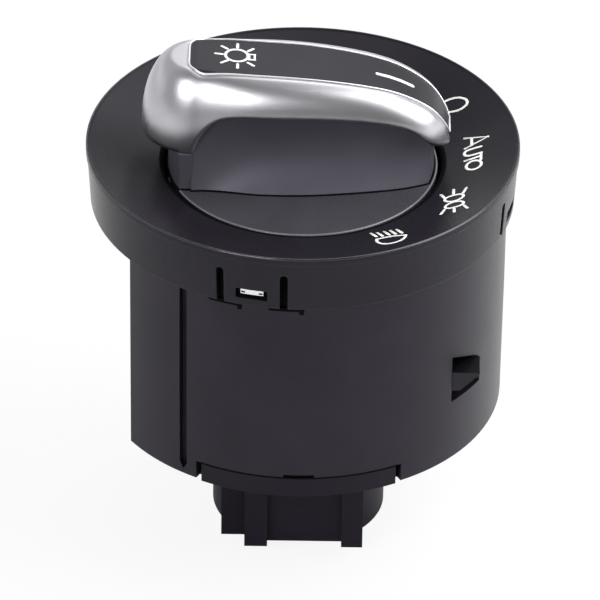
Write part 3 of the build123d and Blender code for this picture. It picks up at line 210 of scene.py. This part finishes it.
def moulded(name, colour, pale, *, roughness, grain_mm, depth_mm, edge_mm=0.14, flow_mm=16, gloss=0.5):
    """Moulded plastic: its colour drifts to a paler one with the melt's flow, over a fine pebbled grain."""
    material, tree, shader = blank(name)
    place = add(tree, "ShaderNodeTexCoord").outputs["Object"]
    flow = add(tree, "ShaderNodeTexNoise",
               {"Scale": 1 / (flow_mm * MM), "Detail": 4, "Distortion": FLOW_WARP}, {"Vector": place})
    tint = add(tree, "ShaderNodeValToRGB", links={"Fac": flow.outputs["Fac"]})
    for stop, at, shade in zip(tint.color_ramp.elements, FLOW_TINT, (colour, pale)):
        stop.position, stop.color = at, linear(shade)
    grain = add(tree, "ShaderNodeTexNoise", {"Scale": 1 / (grain_mm * MM), "Detail": 2}, {"Vector": place})
    rough = add(tree, "ShaderNodeMapRange",
                {"To Min": roughness - PLASTIC_SPREAD, "To Max": roughness + PLASTIC_SPREAD},
                {"Value": grain.outputs["Fac"]})
    rounded = add(tree, "ShaderNodeBevel", {"Radius": edge_mm * MM}, samples=6)
    relief = add(tree, "ShaderNodeBump", {"Strength": 1, "Distance": depth_mm * MM},
                 {"Height": grain.outputs["Fac"], "Normal": rounded.outputs["Normal"]})
    tree.links.new(tint.outputs["Color"], shader.inputs["Base Color"])
    tree.links.new(rough.outputs["Result"], shader.inputs["Roughness"])
    tree.links.new(relief.outputs["Normal"], shader.inputs["Normal"])
    shader.inputs["IOR"].default_value = PLASTIC_IOR
    shader.inputs["Specular IOR Level"].default_value = gloss
    shader.inputs["Specular Tint"].default_value = linear(BLOOM)
    return material


def dress(material, *names):
    """CAD nodes take a material in place of their own."""
    for name in names:
        mesh = nodes[name].data
        mesh.materials.clear()
        mesh.materials.append(material)


nylon = moulded("moulded black nylon", "#131017", "#1b1720", roughness=0.34, grain_mm=0.35, depth_mm=0.006,
                gloss=0.28)
dress(nylon, "housing")


# Catches and painted shade. The three catches wear caps pressed from bright steel strip, so that the
# tongues snap over them without scraping. Near-black strips behind each tongue's slits, just under the
# skirt and along the joint over the rear cover's sector are painted shade, standing in for shadow gaps.

# Each section is given as radius and height in millimetres, and each azimuth in degrees.
CATCH_AZ = (-103.1, -13.1, 76.9)
CATCH_CAP = ((37.88, 2.12), (37.97, 2.2), (37.97, 3.12), (37.88, 3.2), (37.55, 3.2), (37.55, 2.12))
CATCH_HALF_AZ = 3.1
SLIT_AZ = 8.6
SLIT_SHADE = ((36.45, 0.1), (36.58, 0.1), (36.58, 7.9), (36.45, 7.9))
SLIT_SHADE_HALF_AZ = 1.9
SKIRT_SHADE = ((36.9, -1.3), (37.06, -1.3), (37.06, -0.55), (36.9, -0.55))
SKIRT_SHADE_SHIFT = 0.55
SKIRT_SHADE_HALF_AZ = 4.8
SKIRT_SHADE_TAB = ((36.9, -1.95), (37.06, -1.95), (37.06, -1.2), (36.9, -1.2))
SKIRT_SHADE_TAB_HALF_AZ = 0.6
JOINT_SHADE = ((36.65, -37.52), (36.96, -37.52), (36.96, -37.24), (36.65, -37.24))
JOINT_AZ = -90
JOINT_HALF_AZ = 28.5
JOINT_STEPS = 48

# Points nearer than this are one point.
MERGE = 0.0001 * MM


def metal(name, colour, *, roughness, cloud_mm, depth_mm, spread=0.08):
    """A metal whose gloss drifts in clouds of a given size, with a relief of the same grain."""
    material, tree, shader = blank(name)
    place = add(tree, "ShaderNodeTexCoord").outputs["Object"]
    cloud = add(tree, "ShaderNodeTexNoise", {"Scale": 1 / (cloud_mm * MM), "Detail": 3}, {"Vector": place})
    rough = add(tree, "ShaderNodeMapRange", {"To Min": roughness - spread, "To Max": roughness + spread},
                {"Value": cloud.outputs["Fac"]})
    relief = add(tree, "ShaderNodeBump", {"Strength": 1, "Distance": depth_mm * MM},
                 {"Height": cloud.outputs["Fac"]})
    tree.links.new(rough.outputs["Result"], shader.inputs["Roughness"])
    tree.links.new(relief.outputs["Normal"], shader.inputs["Normal"])
    shader.inputs["Base Color"].default_value = linear(colour)
    shader.inputs["Metallic"].default_value = 1
    return material


def finished(name, form, material, body, smooth=False):
    """A piece from its mesh: it rides on a body and takes the given material."""
    bmesh.ops.remove_doubles(form, verts=form.verts, dist=MERGE)
    bmesh.ops.recalc_face_normals(form, faces=form.faces)
    mesh = bpy.data.meshes.new(name)
    form.to_mesh(mesh)
    form.free()
    mesh.materials.append(material)
    mesh.polygons.foreach_set("use_smooth", [smooth] * len(mesh.polygons))
    piece = bpy.data.objects.new(name, mesh)
    bpy.context.scene.collection.objects.link(piece)
    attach(piece, body)
    return piece


def bent_strip(form, corners, azimuth, half_az, steps=8):
    """A strip bent round the switch's axis, from its section as radius and height."""
    section = [form.verts.new((r * MM, 0, z * MM)) for r, z in corners]
    face = form.faces.new(section)
    bmesh.ops.rotate(form, verts=section, matrix=Matrix.Rotation(radians(azimuth - half_az), 3, "Z"))
    bmesh.ops.spin(form, geom=[*section, *face.edges, face], cent=(0, 0, 0), axis=(0, 0, 1),
                   angle=radians(2 * half_az), steps=steps)


def full_ring(form, corners, steps=180):
    """A closed ring round the switch's axis, from its section as radius and height."""
    section = [form.verts.new((r * MM, 0, z * MM)) for r, z in corners]
    sides = [form.edges.new(pair) for pair in zip(section, section[1:] + section[:1])]
    bmesh.ops.spin(form, geom=section + sides, cent=(0, 0, 0), axis=(0, 0, 1), angle=2 * pi, steps=steps,
                   use_merge=True)


# The painted shade is a near-black matte that swallows nearly all light, so its strips read as black
# gaps. Rolled strip keeps fine streaks of bright and dull, which shows as a broken white bar in the
# tongue's window.
painted_shade = moulded("black felt", "#030303", "#070707", roughness=0.9, grain_mm=0.08, depth_mm=0.02, edge_mm=0.03,
               flow_mm=1, gloss=0.1)
strip_steel = metal("bright rolled steel", "#d6d6d8", roughness=0.3, cloud_mm=0.3, depth_mm=0.01, spread=0.12)
caps, shade_strips = bmesh.new(), bmesh.new()
for azimuth in CATCH_AZ:
    bent_strip(caps, CATCH_CAP, azimuth, CATCH_HALF_AZ)
    for side in (-1, 1):
        slit = azimuth + side * SLIT_AZ
        bent_strip(shade_strips, SLIT_SHADE, slit, SLIT_SHADE_HALF_AZ)
        bent_strip(shade_strips, SKIRT_SHADE, slit + SKIRT_SHADE_SHIFT, SKIRT_SHADE_HALF_AZ)
        tab = slit + SKIRT_SHADE_SHIFT + SKIRT_SHADE_HALF_AZ - SKIRT_SHADE_TAB_HALF_AZ
        bent_strip(shade_strips, SKIRT_SHADE_TAB, tab, SKIRT_SHADE_TAB_HALF_AZ)
finished("catch_caps", caps, strip_steel, "base")
finished("painted_shade_strips", shade_strips, painted_shade, "base")
form = bmesh.new()
bent_strip(form, JOINT_SHADE, JOINT_AZ, JOINT_HALF_AZ, steps=JOINT_STEPS)
finished("joint_painted_shade", form, painted_shade, "base")


# Bearing plate. The hub's bearing, the detent's guide and the turn stops, moulded in one piece of
# grey glass-filled nylon and screwed to the housing's bosses. It is left as it comes from the tool,
# dull and a little mottled.
grey_nylon = moulded("moulded grey nylon", "#55554f", "#65655d", roughness=0.5, grain_mm=0.4, depth_mm=0.01)
dress(grey_nylon, "bearing_plate")


# Screws. Thread-forming pan-head screws of zinc-plated steel, four for the bearing plate and three
# for the rear cover. The plate gives a cool grey with a cloudy sheen; the threads cut into the bosses.
THREAD_R = 1.5
THREAD_ROOT_R = 1.2
THREAD_PITCH = 1.0
THREAD_FLANK = 0.28
THREAD_STEPS = 20
SCREW_HEAD = 2.2
SCREW_TIP = 0.6


def shells(node):
    """The separate solids of a node, each as its lowest and highest corner, in order of place."""
    copy = bmesh.new()
    copy.from_mesh(nodes[node].data)
    bmesh.ops.remove_doubles(copy, verts=copy.verts, dist=MERGE)
    left = set(copy.verts)
    corners = []
    while left:
        group, reached = set(), [left.pop()]
        while reached:
            vert = reached.pop()
            group.add(vert.co.copy().freeze())
            near = {edge.other_vert(vert) for edge in vert.link_edges} & left
            left -= near
            reached += near
        corners.append([Vector([pick(v[i] for v in group) for i in range(3)]) for pick in (min, max)])
    copy.free()
    return sorted(corners, key=lambda pair: tuple(round(value, 5) for value in pair[0]))


def screw_threads(name, node, head_high):
    """A helical ridge on the shank of each screw of a node."""
    corners = ((THREAD_R, 0), (THREAD_ROOT_R, THREAD_FLANK), (THREAD_ROOT_R, -THREAD_FLANK))
    below, above = (SCREW_TIP, SCREW_HEAD) if head_high else (SCREW_HEAD, SCREW_TIP)
    form = bmesh.new()
    for low, high in shells(node):
        middle = (low + high) / 2
        bottom, top = low.z / MM + below, high.z / MM - above
        turns = int((top - bottom) / THREAD_PITCH)
        ring = bmesh.ops.create_circle(form, cap_ends=True, segments=len(corners), radius=1)["verts"]
        for vert, (r, z) in zip(ring, corners):
            vert.co = Vector((r * MM, 0, (bottom + z) * MM))
        faces = list({face for vert in ring for face in vert.link_faces})
        bmesh.ops.translate(form, verts=ring, vec=(middle.x, middle.y, 0))
        edges = list({edge for face in faces for edge in face.edges})
        bmesh.ops.spin(form, geom=ring + edges + faces, cent=(middle.x, middle.y, 0), axis=(0, 0, 1),
                       dvec=(0, 0, THREAD_PITCH * MM / THREAD_STEPS), angle=2 * pi * turns,
                       steps=THREAD_STEPS * turns)
    finished(name, form, zinc, "base")


zinc = metal("zinc-plated steel", "#a9abac", roughness=0.36, cloud_mm=0.8, depth_mm=0.003)
dress(zinc, "plate_screws", "cover_screws")
screw_threads("plate_screw_threads", "plate_screws", True)
screw_threads("cover_screw_threads", "cover_screws", False)


# Rotor. The disc round the knob's foot with its hub, cam and shaft, one moulding in black ABS and
# polycarbonate. Its top has the bezel's fine grain, and its colour is painted lighter than the bezel's
# as a painted sheen.
rotor_abs = moulded("moulded black blend", "#3e3d42", "#46454b", roughness=0.28, grain_mm=0.3,
                    depth_mm=0.0015, edge_mm=0.3)
dress(rotor_abs, "rotor")

# The disc's rim bead is painted pale: a painted highlight along the disc's edge. A near-black ring of
# painted shade lies on the bore's edge round the disc, and another round the knob's foot, where shadow
# gaps fall.
RIM_BEAD = 0.25
DISC_RIM = (24.05, 6.25)
BORE_SHADE_RING = ((24.85, 6.1), (24.96, 6.48), (25.28, 6.84), (25.85, 7.02), (25.85, 6.8), (25.1, 6.1))
FOOT_SHADE_Z = 6.44
FOOT_SHADE_R = 0.24
BEAD_ROUNDING = 2


def round_section(radius, height, bead, sides=12):
    """The section of a round bead, as radius and height."""
    turns = [2 * pi * i / sides for i in range(sides)]
    return [(radius + bead * cos(turn), height + bead * sin(turn)) for turn in turns]


def drawn_form(line):
    """The mesh that a bevelled curve draws. The curve's object is used up."""
    bpy.context.view_layer.update()
    drawn = bpy.data.meshes.new_from_object(line)
    bpy.data.objects.remove(line)
    form = bmesh.new()
    form.from_mesh(drawn)
    bpy.data.meshes.remove(drawn)
    return form


def outlined(name, form, bead, material, body):
    """A round bead along the loose edges of a mesh, which is used up."""
    outline = bpy.data.meshes.new(name)
    form.to_mesh(outline)
    form.free()
    line = bpy.data.objects.new(name, outline)
    bpy.context.scene.collection.objects.link(line)
    for other in bpy.context.selected_objects:
        other.select_set(False)
    bpy.context.view_layer.objects.active = line
    line.select_set(True)
    bpy.ops.object.convert(target="CURVE")
    line.data.bevel_depth = bead * MM
    line.data.bevel_resolution = BEAD_ROUNDING
    finished(name, drawn_form(line), material, body, smooth=True)


# Painted highlight: the rim bead is painted far paler than the disc, so it shows as a bright edge line.
pale_painted_highlight = moulded("rubbed black edge", "#68676d", "#727177", roughness=0.2, grain_mm=0.2, depth_mm=0.001,
                 edge_mm=0.05, gloss=0.8)
form = bmesh.new()
full_ring(form, round_section(*DISC_RIM, RIM_BEAD))
finished("disc_rim", form, pale_painted_highlight, "rotor_body", smooth=True)
# Painted shade: a near-black ring on the bore's edge round the disc, where a shadow gap falls.
form = bmesh.new()
full_ring(form, BORE_SHADE_RING)
finished("bore_shade_ring", form, painted_shade, "base", smooth=True)

# The foot's ring of painted shade follows the outermost loop where the knob meets the disc's top.
foot = bmesh.new()
foot.from_mesh(nodes["knob_core"].data)
bmesh.ops.remove_doubles(foot, verts=foot.verts, dist=MERGE)
bmesh.ops.bisect_plane(foot, geom=foot.verts[:] + foot.edges[:] + foot.faces[:],
                       plane_co=(0, 0, FOOT_SHADE_Z * MM), plane_no=(0, 0, 1),
                       clear_inner=True, clear_outer=True)
loop = {max(foot.verts, key=lambda vert: vert.co.x)}
grown = set(loop)
while grown:
    grown = {edge.other_vert(vert) for vert in grown for edge in vert.link_edges} - loop
    loop |= grown
bmesh.ops.delete(foot, geom=[vert for vert in foot.verts if vert not in loop], context="VERTS")
outlined("foot_shade_ring", foot, FOOT_SHADE_R, painted_shade, "rotor_body")


# Release plate, latch slide, wiper carrier, detent plunger and the latch's guide. All slide or turn
# on nylon, so they are moulded in black acetal, which comes out of the tool smooth, waxy and a
# little glossy. The guide is of the bearing plate's grey nylon.
acetal = moulded("moulded black acetal", "#0e0e10", "#131315", roughness=0.34, grain_mm=0.3, depth_mm=0.003,
                 gloss=0.35)
dress(acetal, "release_plate", "latch_slide", "wiper_carrier", "detent_plunger")
dress(grey_nylon, "latch_guide")


# Springs and the shaft's clip. Drawn spring wire and a clip stamped from hardened strip, oiled and
# left bare, so they are darker and smoother than the screws. The latch's and the knob's springs are
# copied to pieces on their bodies, and the CAD springs are hidden.

# Each moving spring with its joint and body, the way it shortens, its fixed end, and its length
# and travel in millimetres.
LATCH_SPRINGS = ("latch_springs", "latch_slide", "base", (1, 0, 0), (-25.6, 0, 0), 11.5, 4.4)
KNOB_SPRING = ("knob_spring", "knob_push", "rotor_body", (0, 0, 1), (0, 0, -20.2), 6.15, 2.5)

spring_wire = metal("drawn spring steel", "#8b8c8e", roughness=0.28, cloud_mm=0.5, depth_mm=0.001)
dress(spring_wire, "detent_spring", "shaft_clip")
for node, joint, body, along, fixed_end, length, travel in (LATCH_SPRINGS, KNOB_SPRING):
    coils = bmesh.new()
    coils.from_mesh(nodes[node].data)
    piece = finished(node + "_coils", coils, spring_wire, body, smooth=True)
    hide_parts(node)
    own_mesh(piece)


# Wiper contacts. Stamped from phosphor bronze strip and bent down to the board's tracks, with the
# strip's rolled sheen left on, a warm dull gold.
bronze = metal("rolled phosphor bronze", "#b98a58", roughness=0.3, cloud_mm=0.6, depth_mm=0.001)
dress(bronze, "wiper_contacts")


# Circuit board. Glass-fibre laminate under a green lacquer, with carbon-coated copper rings for the
# wipers, and below it a solder joint round the top of each terminal pin.
TRACK_RADII = (10.0, 13.0)
TRACK_HALF_W = 1.0
TRACK_T = 0.06
TRACK_STEPS = 96
SOLDER_R = 1.7
SOLDER_H = 0.45
SOLDER_TIP_R = 1.25
SOLDER_SIDES = 16

# The glass cloth shows through the lacquer as a faint weave, drawn far coarser than it is.
WEAVE_MM = 6.5
WEAVE_WARP = 0.4

laminate, tree, shader = blank("lacquered laminate")
place = add(tree, "ShaderNodeTexCoord").outputs["Object"]
weave = add(tree, "ShaderNodeTexWave", {"Scale": 1 / (WEAVE_MM * MM), "Distortion": WEAVE_WARP},
            {"Vector": place})
under = add(tree, "ShaderNodeValToRGB", links={"Fac": weave.outputs["Fac"]})
for stop, shade in zip(under.color_ramp.elements, ("#0f4a2c", "#135533")):
    stop.color = linear(shade)
tree.links.new(under.outputs["Color"], shader.inputs["Base Color"])
shader.inputs["Roughness"].default_value = 0.3
shader.inputs["Coat Weight"].default_value = 0.4
dress(laminate, "circuit_board")

# Printed carbon dries to a dull black, and solder that has flowed is smooth and bright.
carbon = moulded("printed carbon", "#121212", "#1b1b1b", roughness=0.55, grain_mm=0.2, depth_mm=0.004)
tin = metal("reflowed solder", "#c2c4c6", roughness=0.25, cloud_mm=1.2, depth_mm=0.004)
board_low, board_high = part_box("circuit_board")
form = bmesh.new()
for radius in TRACK_RADII:
    inner, outer = radius - TRACK_HALF_W, radius + TRACK_HALF_W
    low, high = board_high.z / MM, board_high.z / MM + TRACK_T
    full_ring(form, ((inner, low), (outer, low), (outer, high), (inner, high)), steps=TRACK_STEPS)
finished("wiper_tracks", form, carbon, "base")

form = bmesh.new()
for low, high in shells("terminal_pins"):
    middle = (low + high) / 2
    bmesh.ops.create_cone(form, cap_ends=True, segments=SOLDER_SIDES, radius1=SOLDER_TIP_R * MM,
                          radius2=SOLDER_R * MM, depth=SOLDER_H * MM,
                          matrix=Matrix.Translation((middle.x, middle.y, board_low.z - SOLDER_H * MM / 2)))
finished("solder_joints", form, tin, "base", smooth=True)


# Controller, capacitors, resistors and lamps. A square chip in dull black epoxy with tinned legs,
# aluminium cans, fired ceramic blocks, and lamps in cream resin with a yellow phosphor window.
LEG_PITCH = 0.8
LEGS_A_SIDE = 8
LEG_W = 0.36
LEG_T = 0.15
LEG_REACH = 0.9
LEG_RISE = 0.35
LEG_BELOW_TOP = 0.45
WINDOW_R = 1.0
WINDOW_H = 0.12
WINDOW_TAPER = 0.86
WINDOW_SIDES = 24

epoxy = moulded("moulded epoxy", "#161618", "#1d1d1f", roughness=0.55, grain_mm=0.15, depth_mm=0.004)
dress(epoxy, "controller_chip")
form = bmesh.new()
low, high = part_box("controller_chip")
middle = (low + high) / 2
for side in range(4):
    turn = Matrix.Rotation(side * pi / 2, 3, "Z")
    for i in range(LEGS_A_SIDE):
        along = (i - (LEGS_A_SIDE - 1) / 2) * LEG_PITCH * MM
        leg = bmesh.ops.create_cube(form, size=1)["verts"]
        bmesh.ops.scale(form, verts=leg, vec=(LEG_REACH * MM, LEG_W * MM, LEG_T * MM))
        outer = [vert for vert in leg if vert.co.x > 0]
        bmesh.ops.translate(form, verts=outer, vec=(0, 0, LEG_RISE * MM))
        out = (high.x - low.x) / 2 + LEG_REACH * MM / 2
        bmesh.ops.translate(form, verts=leg, vec=(out, along, high.z - middle.z - LEG_BELOW_TOP * MM))
        bmesh.ops.rotate(form, verts=leg, cent=(0, 0, 0), matrix=turn)
        bmesh.ops.translate(form, verts=leg, vec=middle)
finished("controller_legs", form, tin, "base")

can = metal("drawn aluminium", "#b9bbbd", roughness=0.3, cloud_mm=0.7, depth_mm=0.002)
dress(can, "capacitors")

ceramic = moulded("fired ceramic", "#1a1715", "#231f1c", roughness=0.45, grain_mm=0.2, depth_mm=0.003)
dress(ceramic, "resistors")

lamp_resin = moulded("white lamp resin", "#d9d6c6", "#e6e3d6", roughness=0.45, grain_mm=0.2, depth_mm=0.002)
dress(lamp_resin, "leds")
phosphor = moulded("yellow phosphor", "#d8b93a", "#e3c957", roughness=0.35, grain_mm=0.1, depth_mm=0.002)
form = bmesh.new()
for low, high in shells("leds"):
    middle = (low + high) / 2
    bmesh.ops.create_cone(form, cap_ends=True, segments=WINDOW_SIDES, radius1=WINDOW_R * MM,
                          radius2=WINDOW_R * WINDOW_TAPER * MM, depth=WINDOW_H * MM,
                          matrix=Matrix.Translation((middle.x, middle.y, high.z + WINDOW_H * MM / 2)))
finished("lamp_windows", form, phosphor, "base")


# Terminal pins. Ten brass blades under a bright tin plate, pressed through the rear cover. The tin
# is soft and wipes on the plug, so its shine drifts from blade to blade.
tinned = metal("tin-plated brass", "#c6c2b4", roughness=0.26, cloud_mm=0.9, depth_mm=0.001)
dress(tinned, "terminal_pins")


# Rear cover. It closes the housing and carries the plug's socket. It is moulded in unfilled nylon,
# which seals better round the plug and comes out a little duller than the housing.
cover_nylon = moulded("unfilled black nylon", "#131017", "#1a161f", roughness=0.42, grain_mm=0.35,
                      depth_mm=0.006, gloss=0.16)
dress(cover_nylon, "rear_cover")


# Light guide and the knob's light pipe. Clear acrylic, moulded with polished faces, that carries
# the lamps' light up to the marks. It looks like very clean glass.
acrylic, tree, shader = blank("clear acrylic")
shader.inputs["Base Color"].default_value = linear("#eef4f6")
shader.inputs["Roughness"].default_value = 0.06
shader.inputs["IOR"].default_value = 1.49
shader.inputs["Transmission Weight"].default_value = 0.9
dress(acrylic, "light_guide", "knob_light_pipe")


# Bezel. The dished face ring and its skirt with three snap tongues, one moulding in black ABS.
# Its tool is textured with a fine leather-like pebble, which breaks the gloss to an even satin,
# and the outer rim is buffed to a narrow glossy edge.
BEZEL_RIM = (38.75, 10.75)

bezel_abs = moulded("grained black ABS", "#17151a", "#1d1b21", roughness=0.29, grain_mm=0.28, depth_mm=0.004,
                    edge_mm=0.4, gloss=0.2)
dress(bezel_abs, "bezel")
buffed = moulded("buffed black edge", "#19181b", "#222126", roughness=0.16, grain_mm=0.2, depth_mm=0.001,
                 edge_mm=0.05, gloss=1.0)
form = bmesh.new()
full_ring(form, round_section(*BEZEL_RIM, RIM_BEAD))
finished("bezel_rim", form, buffed, "base", smooth=True)


# Marks. The four positions round the dish: off, automatic, side lamps and dipped beam, pad-printed
# in white. The ink lies on the grain as a thin even film with soft round ends to its strokes.
INK_W = 0.54

# Strokes are drawn round at height 0, flattened, and lowered from above onto their node.
INK_FLAT = 0.12
INK_LIFT = 0.02
PEN_HIGH = 60


def printed(name, strokes, onto, body, width=INK_W):
    """Strokes laid on top of a node. A line is straight from point to point, a bend is smooth, and a
    ring is smooth and closed."""
    curve = bpy.data.curves.new(name, "CURVE")
    curve.dimensions = "3D"
    curve.bevel_depth = width / 2 * MM
    curve.bevel_resolution = BEAD_ROUNDING
    curve.use_fill_caps = True
    ends = []
    for kind, points in strokes:
        places = [Vector((x, y, 0)) * MM for x, y in points]
        if kind == "line":
            spline = curve.splines.new("POLY")
            spline.points.add(len(places) - 1)
            for point, place in zip(spline.points, places):
                point.co = (*place, 1)
            ends += places
        else:
            spline = curve.splines.new("BEZIER")
            spline.bezier_points.add(len(places) - 1)
            for point, place in zip(spline.bezier_points, places):
                point.co = place
                point.handle_left_type = point.handle_right_type = "AUTO"
            spline.use_cyclic_u = kind == "ring"
            ends += [] if kind == "ring" else [places[0], places[-1]]
    pen = bpy.data.objects.new(name + "_pen", curve)
    bpy.context.scene.collection.objects.link(pen)
    form = drawn_form(pen)
    for place in ends:
        bmesh.ops.create_icosphere(form, subdivisions=2, radius=width / 2 * MM,
                                   matrix=Matrix.Translation(place))
    under = bmesh.new()
    under.from_mesh(nodes[onto].data)
    ground = BVHTree.FromBMesh(under)
    for vert in form.verts:
        start = Vector((vert.co.x, vert.co.y, PEN_HIGH * MM))
        top = ground.ray_cast(start, Vector((0, 0, -1)))[0]
        vert.co.z = top.z + INK_LIFT * MM + vert.co.z * INK_FLAT
    under.free()
    finished(name, form, white_ink, body, smooth=True)


def oval(centre, half, points=8):
    """Points round an oval, for a ring."""
    turns = [2 * pi * i / points for i in range(points)]
    return [(centre[0] + half[0] * cos(turn), centre[1] + half[1] * sin(turn)) for turn in turns]


white_ink = moulded("white print ink", "#f7f7f5", "#fdfdfb", roughness=0.5, grain_mm=0.2, depth_mm=0.002,
                    edge_mm=0.02)

OFF_CENTRE = (27.3, 16.0)
OFF_HALF = (2.45, 1.8)
printed("mark_off", [("ring", oval(OFF_CENTRE, OFF_HALF))], "bezel", "base")

printed("mark_auto", [
    ("line", ((29.15, 5.6), (33.3, 4.5), (29.2, 2.35))),
    ("line", ((30.4, 5.2), (30.4, 3.0))),
    ("bend", ((32.05, 1.9), (30.4, 1.75), (29.3, 1.4), (29.05, 0.65), (29.45, -0.1), (30.5, -0.25),
              (32.1, -0.1))),
    ("line", ((32.0, -0.2), (31.95, -2.4))),
    ("line", ((32.0, -1.2), (29.1, -1.7))),
    ("ring", ((32.0, -3.8), (30.65, -2.3), (29.3, -3.8), (30.65, -5.3))),
], "bezel", "base")

printed("mark_side_lamps", [
    ("ring", ((25.3, -14.6), (26.9, -13.5), (28.6, -14.2), (26.95, -15.9))),
    ("ring", ((25.4, -18.1), (26.9, -16.3), (28.6, -17.4), (26.85, -18.6))),
    ("line", ((24.7, -12.2), (25.3, -13.8))),
    ("line", ((26.95, -11.2), (26.9, -13.0))),
    ("line", ((29.2, -11.6), (28.6, -13.3))),
    ("line", ((24.55, -20.6), (25.2, -18.9))),
    ("line", ((26.9, -20.7), (26.9, -19.1))),
    ("line", ((29.2, -20.0), (28.6, -18.5))),
], "bezel", "base")

DIPPED_RAYS = ((12.2, -25.2), (13.3, -25.2), (14.5, -25.0), (15.6, -24.9), (16.7, -24.7))
DIPPED_RAY = (0.95, -2.15)
printed("mark_dipped_beam", [
    ("bend", ((13.15, -28.7), (15.8, -27.95), (18.3, -28.1))),
    ("bend", ((18.3, -28.1), (17.9, -29.8), (16.3, -31.4), (14.5, -31.6), (13.3, -30.2), (13.15, -28.7))),
    *[("line", ((x, y), (x + DIPPED_RAY[0], y + DIPPED_RAY[1]))) for x, y in DIPPED_RAYS],
], "bezel", "base")


# Knob. Its body is moulded in black ABS and sprayed with a charcoal soft-touch lacquer that evens
# out the grain, so the finger scoops carry long smooth shades instead of a sheen.
knob_lacquer = moulded("soft grey lacquer", "#48474f", "#515059", roughness=0.42, grain_mm=0.25,
                       depth_mm=0.003, edge_mm=0.4)
dress(knob_lacquer, "knob_core")


# Knob trim. A thin shell of ABS plated with satin chrome and snapped over the knob's upper edge.
# The bath is filled with fine pearl, so the metal looks frosted: broad soft highlights and a faint
# sparkle. The pearl itself is a few hundredths of a millimetre, and is drawn coarser, to show.
PEARL_MM = 0.17
PEARL_DEPTH = 0.018
TRIM_EDGE_R = 1.2
TRIM_ROUGHNESS = (0.25, 0.41)

satin_chrome, tree, shader = blank("satin chrome plate")
place = add(tree, "ShaderNodeTexCoord").outputs["Object"]
pearl = add(tree, "ShaderNodeTexNoise", {"Scale": 1 / (PEARL_MM * MM), "Detail": 2}, {"Vector": place})
rough = add(tree, "ShaderNodeMapRange", {"To Min": TRIM_ROUGHNESS[0], "To Max": TRIM_ROUGHNESS[1]},
            {"Value": pearl.outputs["Fac"]})
rounded = add(tree, "ShaderNodeBevel", {"Radius": TRIM_EDGE_R * MM}, samples=8)
relief = add(tree, "ShaderNodeBump", {"Strength": 1, "Distance": PEARL_DEPTH * MM},
             {"Height": pearl.outputs["Fac"], "Normal": rounded.outputs["Normal"]})
tree.links.new(rough.outputs["Result"], shader.inputs["Roughness"])
tree.links.new(relief.outputs["Normal"], shader.inputs["Normal"])
shader.inputs["Base Color"].default_value = linear("#c3c2c7")
shader.inputs["Metallic"].default_value = 1
dress(satin_chrome, "knob_trim")


# Inlay. A strip of dark grey ABS let into the trim, sprayed with a satin lacquer that leaves it
# plain and even, with a lamp symbol and the pointer's dash pad-printed in white.
inlay_lacquer = moulded("grey satin lacquer", "#1f1e23", "#252429", roughness=0.36, grain_mm=0.3,
                        depth_mm=0.003, edge_mm=0.1, gloss=0.26)
dress(inlay_lacquer, "knob_inlay")

# A fine bead of pale chrome stands round the inlay. It follows the outline of the inlay's top,
# which is made up of the faces that look up more than TOP_FACING.
BEAD_R = 0.21
TOP_FACING = 0.3
top = bmesh.new()
top.from_mesh(nodes["knob_inlay"].data)
bmesh.ops.remove_doubles(top, verts=top.verts, dist=MERGE)
bmesh.ops.delete(top, geom=[face for face in top.faces if face.normal.z < TOP_FACING], context="FACES")
bmesh.ops.delete(top, geom=[edge for edge in top.edges if len(edge.link_faces) > 1], context="EDGES")
bmesh.ops.delete(top, geom=[vert for vert in top.verts if not vert.link_edges], context="VERTS")
pale_chrome = metal("pale chrome", "#f2f2f5", roughness=0.36, cloud_mm=0.5, depth_mm=0.001)
outlined("trim_bead", top, BEAD_R, pale_chrome, "knob")

BULB_CENTRE = (-12.0, 0.6)
BULB_R = 2.0
printed("mark_lamp", [
    ("ring", oval(BULB_CENTRE, (BULB_R, BULB_R))),
    ("line", ((-9.8, -0.5), (-8.8, -0.5), (-8.8, 1.25), (-9.8, 1.25), (-9.8, -0.5))),
    ("line", ((-15.8, 0.8), (-14.55, 0.7))),
    ("line", ((-14.7, 3.4), (-13.7, 2.6))),
    ("line", ((-11.9, 4.5), (-11.9, 3.2))),
    ("line", ((-9.1, 3.2), (-10.0, 2.3))),
    ("line", ((-14.7, -2.2), (-13.65, -1.3))),
    ("line", ((-11.8, -3.6), (-11.8, -2.3))),
    ("line", ((-8.95, -2.5), (-10.0, -1.6))),
], "knob_inlay", "knob")

# The pointer's points between its ends let it bend down with the inlay.
POINTER_W = 0.95
POINTER = ((13.2, -0.2), (15.2, -0.2), (17.2, -0.2), (19.3, -0.2))
printed("mark_pointer", [("line", POINTER)], "knob_inlay", "knob", POINTER_W)
